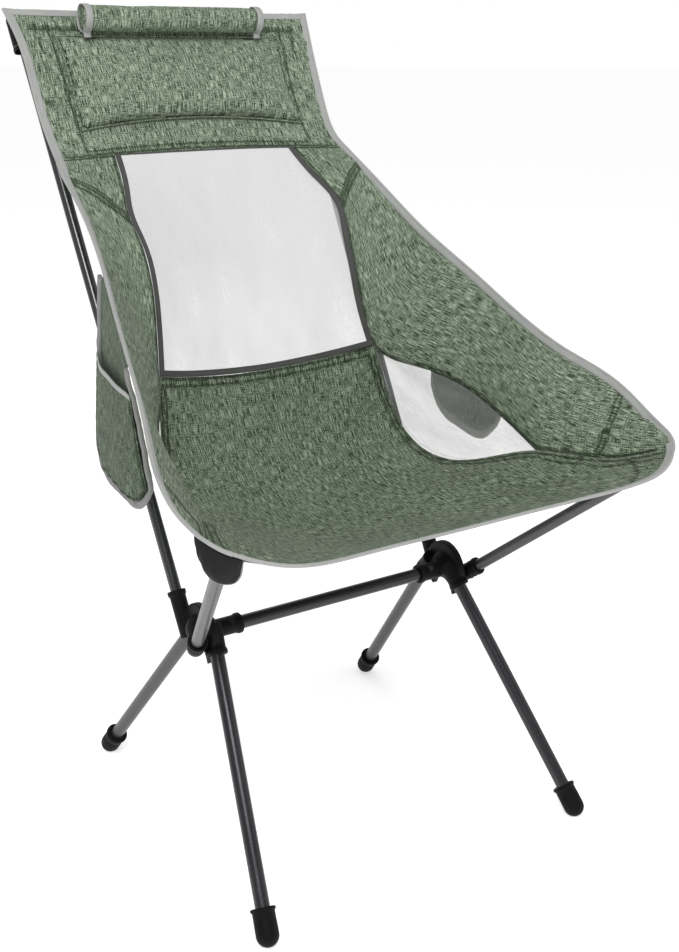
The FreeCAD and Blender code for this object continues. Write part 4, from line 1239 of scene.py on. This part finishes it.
def build_seat():
    rows, columns = 190, 165
    edge = spread(joined(MESH_BOTTOM, CORNER_SEAM), rows)
    centre = spread(CENTRE_SEAT, rows)
    grid = across(edge, centre, columns)
    own_curve = front_row(columns) - grid[-1]
    share = np.clip((np.linspace(0, 12, rows) - 8) / 4, 0, 1)[:, None, None] ** 2
    grid = grid + own_curve[None] * share
    front = grid[-1].copy()
    behind = at_distance(grid[::-1], BAND)

    def relief(points, cloth):
        lift = ripple(cloth, 0.20, 1.2, 31) + ripple(cloth, 0.07, 0.45, 35)
        for side in (-1, 1):
            for start, stop, width, height in (
                ((245, -245, 474), (120, -120, 402), 12, 3.6), ((262, -225, 474), (170, -150, 425), 9, -2.2),
                ((225, -262, 472), (100, -205, 425), 10, 2.6), ((236, -120, 456), (140, -60, 398), 12, 3.0),
                ((228, -85, 448), (150, 0, 400), 9, -2.0), ((205, -20, 425), (110, 10, 388), 12, 2.2),
                ((180, 70, 432), (90, 35, 392), 11, 2.6), ((163, 130, 500), (118, 95, 430), 9, -2.4),
                ((150, 150, 530), (60, 120, 435), 13, 2.0), ((200, -285, 472), (60, -240, 444), 8, 1.4),
            ):
                ends = [(side * p[0], p[1], p[2]) for p in (start, stop)]
                lift += crease(points, *ends, width, height * (1.0 if side < 0 else 0.8))
        front_gap = cloth[..., 1].max() - cloth[..., 1]
        lift += pucker(front_gap, cloth[..., 0], 0.7, 32)
        lift += pucker(cloth[..., 1], cloth[..., 0], 0.6, 33)
        side_gap = np.minimum(cloth[..., 0] - cloth[..., 0].min(axis=1, keepdims=True),
                              cloth[..., 0].max(axis=1, keepdims=True) - cloth[..., 0])
        lift += pucker(side_gap, cloth[..., 1], 0.8, 34)
        return lift * np.clip(side_gap / 0.014, 0.0, 1) * np.clip(front_gap / 0.022 - 0.3, 0.0, 1)

    obj, grid, normal = sheet_piece("seat_cloth_painted_shade", grid, relief, FINISH["seat_cloth_painted_shade"], "frame_and_seat",
                                    ["seat_panel"])
    binding, *_ = tape_piece("front_binding_tape", front, behind, FINISH["binding"], "frame_and_seat",
                             ["front_binding"], seed=12)
    fold = piece("front_binding_fold", seam_tube("front_binding_fold", front, 0.0020), FINISH["binding"],
                 "frame_and_seat")
    lift = 0.0007
    lines = [lane(grid, normal, lift, down=down, start=0.02, stop=0.98) for down in (0.006, 0.022)]
    for over in (0.011, 0.028, 0.972, 0.989):
        lines.append(lane(grid, normal, lift, over=over, start=0.03, stop=0.985))
    for side in (-1, 1):
        lines.append(corner_patch_line(grid, normal, lift, side))
    press_and_shade_seams(obj, lines)
    sewing = sewn("seat_stitches", lines, "dark_thread", "frame_and_seat")


def path_on(grid, normal, lift, down, over):
    """A smooth path over a grid through shares down and over it, with its normals."""
    i = np.clip(down * (len(grid) - 1), 0, len(grid) - 1).round().astype(int)
    j = np.clip(over * (grid.shape[1] - 1), 0, grid.shape[1] - 1).round().astype(int)
    return soft_line(grid[i, j] + normal[i, j] * lift, 8), normal[i, j]


def corner_patch_line(grid, normal, lift, side):
    """The curved seam of the reinforcing patch over a front corner."""
    share = np.linspace(0, 1, 60)
    over = 0.5 + side * (0.488 - 0.125 * share ** 1.6)
    return path_on(grid, normal, lift, 0.875 + 0.105 * share ** 0.8, over)


# ---------------------------------------------------------------- wings, shoulders, side nets, side bindings
def wing_grids():
    stations = 15
    edge = spread(EDGE_WING, stations)
    seam = spread(joined(WINDOW_SIDE[2:], MESH_TOP, CORNER_SEAM), stations)
    width = np.linalg.norm(seam - edge, axis=1)
    belly = np.array((-7.0, 3.0, -5.0)) / 110 * width[:, None]
    wing = between(edge, seam, 4, belly)
    wing[0] = spread(SHOULDER_SEAM, 4)
    wing = refined(wing, 240, 46)
    wing = snapped(wing, spread(joined(WINDOW_SIDE[2:], MESH_TOP), 900))
    wing = snapped(wing, spread(joined(MESH_BOTTOM, CORNER_SEAM), 900), CORNER_SEAM[0][1])
    head_row = across(EDGE_HEAD[-1:], CENTRE_HEAD[-1:], 241)[0]
    top = head_row[head_row[:, 0] > 0.128][::-1]
    top = top + np.linspace(0, 1, len(top))[:, None] * (WINDOW_SIDE[0] - top[-1])
    shoulder = coons(spread(top, 60), spread(SHOULDER_SEAM, 60), spread(EDGE_SHOULDER, 40),
                     spread(WINDOW_SIDE[:3], 40))
    net_top = spread(MESH_TOP, 9, 0.0, 1.0)
    net_bottom = spread(MESH_BOTTOM, 9, 0.0, 1.0)
    net = refined(between(net_top, net_bottom, 4, (0.003, 0.0, 0.0)), 130, 50)
    return wing, shoulder, net, side_band(wing, shoulder)


def snapped(grid, seam, ahead_of=None):
    """The grid with its last column pulled onto a seam, fading out across; maybe only ahead of a place."""
    moved = grid.copy()
    for i, row in enumerate(grid):
        last = row[-1]
        if ahead_of is None and last[1] < CORNER_SEAM[0][1] or ahead_of is not None and last[1] >= ahead_of:
            continue
        shift = seam[np.linalg.norm(seam - last, axis=1).argmin()] - last
        moved[i] = row + shift * (np.linspace(0, 1, len(row))[:, None] ** 3)
    return moved


def side_band(wing, shoulder):
    """Outer and inner lines of the tape round the side, the inner one lying on the panels."""
    head = spread(EDGE_HEAD, 60)
    middle = spread(CENTRE_HEAD, 60)
    share = (head[:, 0] - BAND) / head[:, 0]
    on_head = middle + (head - middle) * (share ** 2)[:, None]
    on_head[:, 0] = head[:, 0] - BAND
    on_shoulder = at_distance(shoulder.transpose(1, 0, 2), BAND)
    on_wing = at_distance(wing.transpose(1, 0, 2), BAND)
    corner = joined(EDGE_CORNER, EDGE_FRONT[-1:-3:-1])
    corner = spread(corner, 60)[:42]
    outer = joined(head, shoulder[:, 0], wing[:, 0], corner)
    inner = joined(on_head, on_shoulder, on_wing, corner)
    tangent = np.gradient(outer, axis=0)
    tangent /= np.maximum(np.linalg.norm(tangent, axis=1, keepdims=True), 1e-9)
    inward = CORNER_SEAM[1] - outer
    inward -= tangent * (inward * tangent).sum(axis=1, keepdims=True)
    square = outer + inward / np.linalg.norm(inward, axis=1, keepdims=True) * BAND
    run = lengths_along(outer)
    turn_in = run[len(head) + len(shoulder) + len(wing) - 3]
    share = np.clip((run - turn_in + 0.075) / 0.055, 0, 1)[:, None]
    share = share * share * (3 - 2 * share)
    inner = inner * (1 - share) + square * share
    both = resampled(np.concatenate([outer, inner], axis=1), 0.0024)
    inner = soft_line(both[:, 3:], 6)
    return both[:, :3], inner


def build_sides():
    wing, shoulder, net, (outer_line, inner_line) = wing_grids()
    for hand, side in SIDES.items():
        body = "frame_and_seat"
        grid = mirrored(wing, side)

        def relief(points, cloth, side=side):
            lift = ripple(cloth, 0.15, 1.0, 41 + side) + ripple(cloth, 0.06, 0.4, 45 + side)
            for start, stop, width, height in (
                ((205, 262, 768), (172, 190, 700), 9, 2.6), ((165, 232, 738), (180, 150, 660), 8, 2.4),
                ((158, 150, 560), (215, 90, 600), 9, 2.6), ((160, 140, 552), (205, 55, 555), 7, 2.2),
                ((160, 150, 552), (205, 105, 640), 9, -1.6), ((232, -60, 478), (285, -110, 545), 10, 2.4),
                ((234, -104, 462), (296, -170, 530), 9, 2.8), ((240, -120, 464), (292, -215, 508), 8, 2.2),
                ((250, -150, 464), (290, -240, 496), 7, -1.4),
            ):
                ends = [(side * p[0], p[1], p[2]) for p in (start, stop)]
                lift += crease(points, *ends, width, height)
            outer_gap = cloth[..., 0] - cloth[..., 0].min(axis=1, keepdims=True)
            inner_gap = cloth[..., 0].max(axis=1, keepdims=True) - cloth[..., 0]
            lift += pucker(np.abs(outer_gap - BAND), cloth[..., 1], 0.6, 43)
            lift += pucker(inner_gap, cloth[..., 1], 0.7, 44)
            return lift * np.clip(inner_gap / 0.014, 0, 1) * np.clip(outer_gap / 0.016 - 0.5, 0, 1)

        obj, grid, normal = sheet_piece(f"wing_cloth_{hand}", grid, relief, FINISH["cloth"], body,
                                        [f"wing_panel_{hand}"])
        patch, patch_grid, patch_normal = sheet_piece(
            f"shoulder_cloth_{hand}", mirrored(shoulder, side),
            lambda points, cloth: ripple(cloth, 0.09, 0.45, 47), FINISH["cloth"], body,
            [f"shoulder_panel_{hand}"])
        side_net, net_grid, net_normal = sheet_piece(
            f"side_net_{hand}", mirrored(net, side), side_net_relief, FINISH["side_net"], body,
            [f"side_mesh_{hand}"], thickness=0.0005)
        outer, inner = mirrored(outer_line, side), mirrored(inner_line, side)
        binding, _, width, binding_normal = tape_piece(
            f"side_binding_tape_{hand}", outer, inner, FINISH["binding"], body,
            [f"side_binding_{hand}"], height=1.05, seed=14 + side)
        fold = piece(f"side_binding_fold_{hand}", seam_tube(f"side_binding_fold_{hand}", outer, 0.0021),
                     FINISH["binding"], body)
        rows = [(outer + width * 0.86 + binding_normal * sign * 0.0013,
                 binding_normal * sign) for sign in (1, -1)]
        binding_stitches = sewn(f"side_binding_stitches_{hand}", rows, "grey_thread", body)
        lift = 0.0007
        lines = [lane(grid, normal, lift, over=over, start=0.40, stop=0.76) for over in (0.955, 0.985)]
        lines += [lane(grid, normal, lift, over=0.975, start=0.0, stop=0.40)]
        lines += [lane(grid, normal, lift, down=down) for down in (0.006, 0.018)]
        lines += [lane(grid, normal, lift, over=over, start=0.78, stop=0.97) for over in (0.955, 0.985)]
        share = np.linspace(0, 1, 50)
        for first in (0.850, 0.860):
            lines.append(path_on(grid, normal, lift, first - 0.010 * share + 0.012 * np.sin(pi * share),
                                 share))
        press_and_shade_seams(obj, lines)
        near = [lane(patch_grid, patch_normal, lift, down=0.02),
                lane(patch_grid, patch_normal, lift, over=0.96),
                lane(patch_grid, patch_normal, lift, down=0.975)]
        press_and_shade_seams(patch, near)
        lower = [lane(net_grid, net_normal, lift, over=0.965, start=0.02, stop=0.97)]
        sewing = sewn(f"wing_stitches_{hand}", lines + near + lower, "dark_thread", body)


def side_net_relief(points, cloth):
    gap = np.minimum(cloth[..., 0] - cloth[..., 0].min(axis=1, keepdims=True),
                     cloth[..., 0].max(axis=1, keepdims=True) - cloth[..., 0])
    lift = ripple(cloth, 0.05, 1.0, 51) + ripple(cloth, 0.022, 0.35, 52)
    return lift * np.clip(gap / 0.010, 0, 1)


# ---------------------------------------------------------------- pole pockets at the corners
def build_corner_pockets():
    count = 56
    angles = np.linspace(0, 2 * pi, count, endpoint=False)
    for hand, side in SIDES.items():
        build_front_hood(hand, side)
        _, end, axis = member_line("rear_pole", side)
        wide_way = np.cross(axis, (0.0, 1.0, 0.0))
        wide_way /= np.linalg.norm(wide_way)
        deep_way = np.cross(axis, wide_way)
        rings, cloth = [], []
        for step in np.linspace(0, 1, 22):
            along = -0.041 + 0.051 * step
            cap = 1 - max(0.0, (step - 0.86) / 0.14) ** 2 * 0.35
            rim = 0.0006 * np.exp(-((step - 0.04) / 0.05) ** 2)
            squared = 3.2
            c, s = np.cos(angles), np.sin(angles)
            shape = (np.abs(c) ** squared + np.abs(s) ** squared) ** (-1 / squared)
            spokes = (c * shape)[:, None] * wide_way * (0.0132 + rim) * cap
            spokes = spokes + (s * shape)[:, None] * deep_way * (0.0083 + rim) * cap
            rings.append(end + axis * along + spokes)
            cloth.append(np.stack([np.full(count, along), angles * 0.012], axis=1))
        grid = np.stack(rings)
        mesh = capped_far_end(grid_mesh(f"rear_pole_pocket_{hand}", grid, np.stack(cloth), closed_over=True),
                              grid)
        obj = piece(f"rear_pole_pocket_{hand}", mesh, FINISH["black_cloth"], "frame_and_seat",
                    [f"rear_corner_pocket_{hand}"])
        thickened(obj, 0.0012, -1.0)
        rows = []
        for step in (2, 17):
            path = np.concatenate([grid[step], grid[step][:1]])
            centre = grid[step].mean(axis=0)
            out = path - centre
            out /= np.linalg.norm(out, axis=1, keepdims=True)
            rows.append((path + out * 0.0003, out))
        sewn(f"pole_pocket_stitches_{hand}", rows, "grey_thread", "frame_and_seat")


def build_front_hood(hand, side):
    """The patch under a front corner for the pole's tip: sewn along the edge, its rim slung under the pole."""
    _, end, axis = member_line("front_pole", 1)
    rows, columns = 30, 70
    sewn_edge = spread(at((303, -232, 510), (302, -248, 504), (297, -259, 499), (288, -269, 494),
                          (276, -279, 489),
                          (264, -285, 486)), columns, 0.14, 0.81)
    chord = sewn_edge[-1] - sewn_edge[0]
    wide = chord - axis * (chord @ axis)
    wide /= np.linalg.norm(wide)
    below = np.cross(axis, wide)
    below *= -np.sign(below[2])
    mouth = end - axis * 0.013
    rim = spread(np.array([
        sewn_edge[0] + (-0.002, 0.004, -0.006), mouth - wide * 0.015 + below * 0.0035, mouth + below * 0.0098,
        mouth + wide * 0.015 + below * 0.0035, sewn_edge[-1] + (-0.004, 0.004, -0.005),
    ]), columns)
    share = np.linspace(0, 1, rows)[:, None, None]
    over = np.linspace(0, 1, columns)[None, :, None]
    grid = sewn_edge[None] * (1 - share) + rim[None] * share
    grid = grid + below * 0.0078 * np.sin(pi * share ** 0.8) * np.sin(pi * over) ** 0.8
    cloth = cloth_map(grid)
    folds = 0.0006 * np.sin(2 * pi * cloth[..., 0] / 0.013) * np.sin(pi * share[..., 0]) ** 0.5
    grid = mirrored(grid + below * folds[..., None], side)
    obj = piece(f"front_pole_pocket_{hand}", grid_mesh(f"front_pole_pocket_{hand}", grid, cloth),
                FINISH["black_cloth"], "frame_and_seat", [f"front_corner_pocket_{hand}"])
    thickened(obj, 0.0016)
    rim = mirrored(rim, side)
    piece(f"front_pole_pocket_rim_{hand}", seam_tube(f"front_pole_pocket_rim_{hand}", rim, 0.0013),
          FINISH["pocket_edge"], "frame_and_seat")


def capped_far_end(mesh, grid):
    """Closes the last ring of a pocket and leaves its mouth open."""
    work = bmesh.new()
    work.from_mesh(mesh)
    work.verts.ensure_lookup_table()
    columns = grid.shape[1]
    first = (len(grid) - 1) * columns
    ring = [work.verts[first + j] for j in range(columns)]
    centre = grid[-1].mean(axis=0)
    layer = work.loops.layers.uv.active
    for share in (0.8, 0.5, 0.2):
        inner = [work.verts.new(centre + (grid[-1][j] - centre) * share) for j in range(columns)]
        for j in range(columns):
            k = (j + 1) % columns
            face = work.faces.new((ring[j], ring[k], inner[k], inner[j]))
            for loop in face.loops:
                loop[layer].uv = (loop.vert.co.x, loop.vert.co.z)
        ring = inner
    face = work.faces.new(ring)
    for loop in face.loops:
        loop[layer].uv = (loop.vert.co.x, loop.vert.co.z)
    bmesh.ops.recalc_face_normals(work, faces=work.faces)
    work.to_mesh(mesh)
    work.free()
    return mesh


# ---------------------------------------------------------------- side pockets
def pocket_sheet(down, over, bulge, hanger, hem):
    """Points of a pocket's sheet at shares down from the hanger and forward from the rear edge."""
    p = np.stack([np.interp(over, np.linspace(0, 1, len(hanger)), hanger[:, axis]) for axis in range(3)],
                 axis=-1)
    q = np.stack([np.interp(over, np.linspace(0, 1, len(hem)), hem[:, axis]) for axis in range(3)], axis=-1)
    inside_over = np.clip(over, 0, 1)
    inside_down = np.clip(down, 0, 1)
    swell = np.abs(np.sin(pi * inside_over)) ** 0.7 * np.abs(np.sin(pi * inside_down ** 1.4)) ** 0.7
    point = p + (q - p) * down[..., None]
    point[..., 0] += 0.0095 * bulge * swell
    point[..., 1] -= 0.005 * inside_over ** 2 * np.sin(pi * inside_down ** 0.9)
    return point


def build_side_pockets():
    hanger, hem = spread(POCKET_HANGER, 120), spread(POCKET_HEM, 120)
    margin, wall = 0.06, 0.0026
    rows, columns = 110, 80
    for hand, side in SIDES.items():
        body = f"pocket_{hand}"
        outside = mirrored(at((900, 50, 560))[0], side)
        overs = np.tile(np.linspace(margin, 1 - margin, columns), (rows, 1))
        downs = np.tile(np.linspace(0.0, 1 - margin, rows)[:, None], (1, columns))
        back = pocket_sheet(downs, overs, 0.0, hanger, hem)
        mouth = 0.42 + (0.18 - 0.42) * overs[0]
        downs = mouth + (1 - margin - mouth) * np.linspace(0, 1, rows)[:, None]
        front = pocket_sheet(downs, overs, 1.0, hanger, hem) + (wall, 0, 0)

        def relief(points, cloth, side=side):
            lift = ripple(cloth, 0.085, 0.9, 61)
            gap = np.minimum(cloth[..., 0] - cloth[..., 0].min(axis=1, keepdims=True),
                             cloth[..., 0].max(axis=1, keepdims=True) - cloth[..., 0])
            lift += pucker(gap, cloth[..., 1], 0.9, 62, pitch=0.016)
            lift += pucker(cloth[..., 1].max() - cloth[..., 1], cloth[..., 0], 0.9, 63, pitch=0.018)
            return lift * np.clip(gap / 0.010, 0.1, 1)

        rear, *_ = sheet_piece(f"pocket_back_cloth_{hand}", mirrored(back, side),
                               lambda points, cloth: ripple(cloth, 0.09, 0.3, 64), FINISH["pocket_cloth_painted_shade"],
                               body,
                               thickness=0.0009, nodes=(), target=outside)
        face, grid, normal = sheet_piece(f"pocket_front_cloth_{hand}", mirrored(front, side), relief,
                                         FINISH["pocket_cloth_painted_shade"], body,
                                         [f"side_pocket_{hand}"],
                                         thickness=0.0009, target=outside)
        steps = [(d, 0.0) for d in np.linspace(0, 1, 60)[:-1]] + [(1.0, o) for o in np.linspace(0, 1, 70)]
        steps += [(d, 1.0) for d in np.linspace(1, 0, 60)[1:]]
        down = np.array([step[0] for step in steps])
        over = np.array([step[1] for step in steps])
        outer = pocket_sheet(down, over, 0.0, hanger, hem) + (wall / 2, 0, 0)
        inner = pocket_sheet(np.minimum(down, 1 - margin), np.clip(over, margin, 1 - margin), 0.0, hanger,
                             hem)
        inner = inner + (wall / 2, 0, 0)
        outer, inner = (mirrored(soft_line(path, 5), side) for path in (outer, inner))
        edge, *_ = tape_piece(f"pocket_edge_tape_{hand}", outer, inner, FINISH["pocket_edge"], body,
                              [f"pocket_binding_{hand}"], height=1.9, wave=0.7, seed=65 + side)
        first = grid[0]
        second = grid[0] + (grid[3] - grid[0]) / np.linalg.norm(grid[3] - grid[0], axis=1,
                                                                keepdims=True) * 0.0058
        band, _ = flat_tape(f"pocket_mouth_tape_{hand}", first, second, "binding",
                            lift=0.0008,
                            target=outside, seed=67, body=body)
        lines = [lane(grid, normal, 0.0007, down=0.045), lane(grid, normal, 0.0007, over=0.03, start=0.04),
                 lane(grid, normal, 0.0007, over=0.97, start=0.04), lane(grid, normal, 0.0007, down=0.985)]
        press_and_shade_seams(face, lines[1:])
        sewing = sewn(f"pocket_stitches_{hand}", lines, "dark_thread", body)
        top_edge = spread(EDGE_WING, 900)
        near = np.array([top_edge[np.linalg.norm(top_edge - point, axis=1).argmin()] for point in back[0]])
        strip = between(near + (0.0012, 0, -0.0008), back[0] + (0, 0, -0.002), 6)
        hanger_strip, *_ = sheet_piece(f"pocket_hanger_{hand}", mirrored(strip.transpose(1, 0, 2), side),
                                       None,
                                       FINISH["pocket_cloth_painted_shade"], "frame_and_seat", nodes=(),
                                       thickness=0.0009, target=outside)


def soft_line(path, passes):
    path = path.copy()
    for _ in range(passes):
        path[1:-1] = (path[:-2] + path[1:-1] * 2 + path[2:]) / 4
    return path


# ---------------------------------------------------------------- hubs, feet and the CAD parts that stay
def cad_copy(node):
    """A merged copy of a CAD node's mesh."""
    source = NODES[node]
    work = bmesh.new()
    work.from_mesh(source.data)
    work.transform(source.matrix_world)
    bmesh.ops.remove_doubles(work, verts=work.verts, dist=2e-6)
    mesh = bpy.data.meshes.new(node + "_copy")
    work.to_mesh(mesh)
    work.free()
    return mesh


def collar(start, axis, radius, width, proud):
    """A raised ring round a socket."""
    inner = radius - 0.0012
    profile = [(inner, 0.0), (radius + proud, width * 0.15), (radius + proud, width * 0.85), (inner, width),
               (inner, 0.0)]
    return turned("collar", profile, start, axis, 40)


def build_hubs():
    for hand, side in SIDES.items():
        meshes = [cad_copy(f"hub_{hand}")]
        for name, radius, back in (("front_pole", 0.01035, 0.013), ("front_pole", 0.01035, 0.020),
                                   ("rear_leg", 0.01155, 0.012)):
            mouth, _, axis = member_line(name, side)
            meshes.append(collar(mouth - axis * back, axis, radius, 0.0028, 0.0011))
        maker = bpy.data.objects.new("hub_maker", merged("hub_maker", meshes))
        bpy.context.collection.objects.link(maker)
        remesh = maker.modifiers.new("remesh", "REMESH")
        remesh.mode = "VOXEL"
        remesh.voxel_size = 0.00105
        fair = maker.modifiers.new("fair", "SMOOTH")
        fair.factor, fair.iterations = 0.5, 5
        mesh = baked(maker)
        mesh.name = f"moulded_hub_{hand}"
        piece(f"moulded_hub_{hand}", mesh, FINISH["nylon"], "frame_and_seat",
              [f"hub_{hand}"])


def build_feet():
    """Rubber feet: a rounded rim, a ribbed barrel and a dome worn flat on the floor."""
    for name in ("front_leg", "rear_leg"):
        for hand, side in SIDES.items():
            _, end, axis = member_line(name, side)
            top = end - axis * 0.034
            r, bore = 0.0130, 0.00852
            profile = [(bore, 0.0), (r - 0.0004, 0.0), (r + 0.0010, 0.0005), (r + 0.0014, 0.0014),
                       (r + 0.0014, 0.0027),
                       (r + 0.0009, 0.0037), (r + 0.0001, 0.0043), (r - 0.0002, 0.0055)]
            profile += [(r - 0.00015, 0.012), (r - 0.00035, 0.0125), (r - 0.00015, 0.0130), (r, 0.022),
                        (r, 0.0290)]
            for step in range(1, 13):
                angle = step / 12 * pi / 2
                profile.append((max(r * cos(angle), 0.0), 0.029 + r * sin(angle)))
            mesh = turned(f"rubber_foot_{name}_{hand}", profile + [(0.0, 0.029 + r)], top, axis, 56)
            ribbed = bmesh.new()
            ribbed.from_mesh(mesh)
            for vert in ribbed.verts:
                vert.co.z = max(vert.co.z, 0.0)
            ribbed.to_mesh(mesh)
            ribbed.free()
            piece(f"rubber_foot_{name}_{hand}", mesh, FINISH["rubber"], f"{name}_{hand}",
                  [f"{name}_foot_{hand}"])


KEPT = {
    "crossbar_tube": "dark_metal", "front_leg_tube": "dark_metal", "rear_leg_tube": "grey_metal",
    "front_upper_pole": "grey_metal", "rear_pole_lower": "glossy_metal", "rear_pole_middle": "glossy_metal",
    "rear_pole_upper": "glossy_metal", "rear_pole_ferrules": "grey_metal", "crossbar_rivets": "rivet",
    "front_pole_tip": "nylon", "rear_pole_tip": "nylon", "front_leg_cord_stop": "nylon",
    "rear_leg_cord_stop": "nylon", "front_leg_cord": "cord", "rear_leg_cord": "cord", "pole_cords": "cord",
}


def dress_kept_nodes():
    for name, obj in NODES.items():
        stem = name
        for hand in SIDES:
            stem = stem.removesuffix("_" + hand)
        if stem in KEPT:
            for slot in obj.material_slots:
                slot.material = FINISH[KEPT[stem]]


FINISH = build_finishes()
STITCHES = stitch_tree()
build_camera()
build_studio()
dress_kept_nodes()
build_headrest()
build_pillow()
build_roll()
build_window()
build_seat()
build_sides()
build_corner_pockets()
build_side_pockets()
build_hubs()
build_feet()
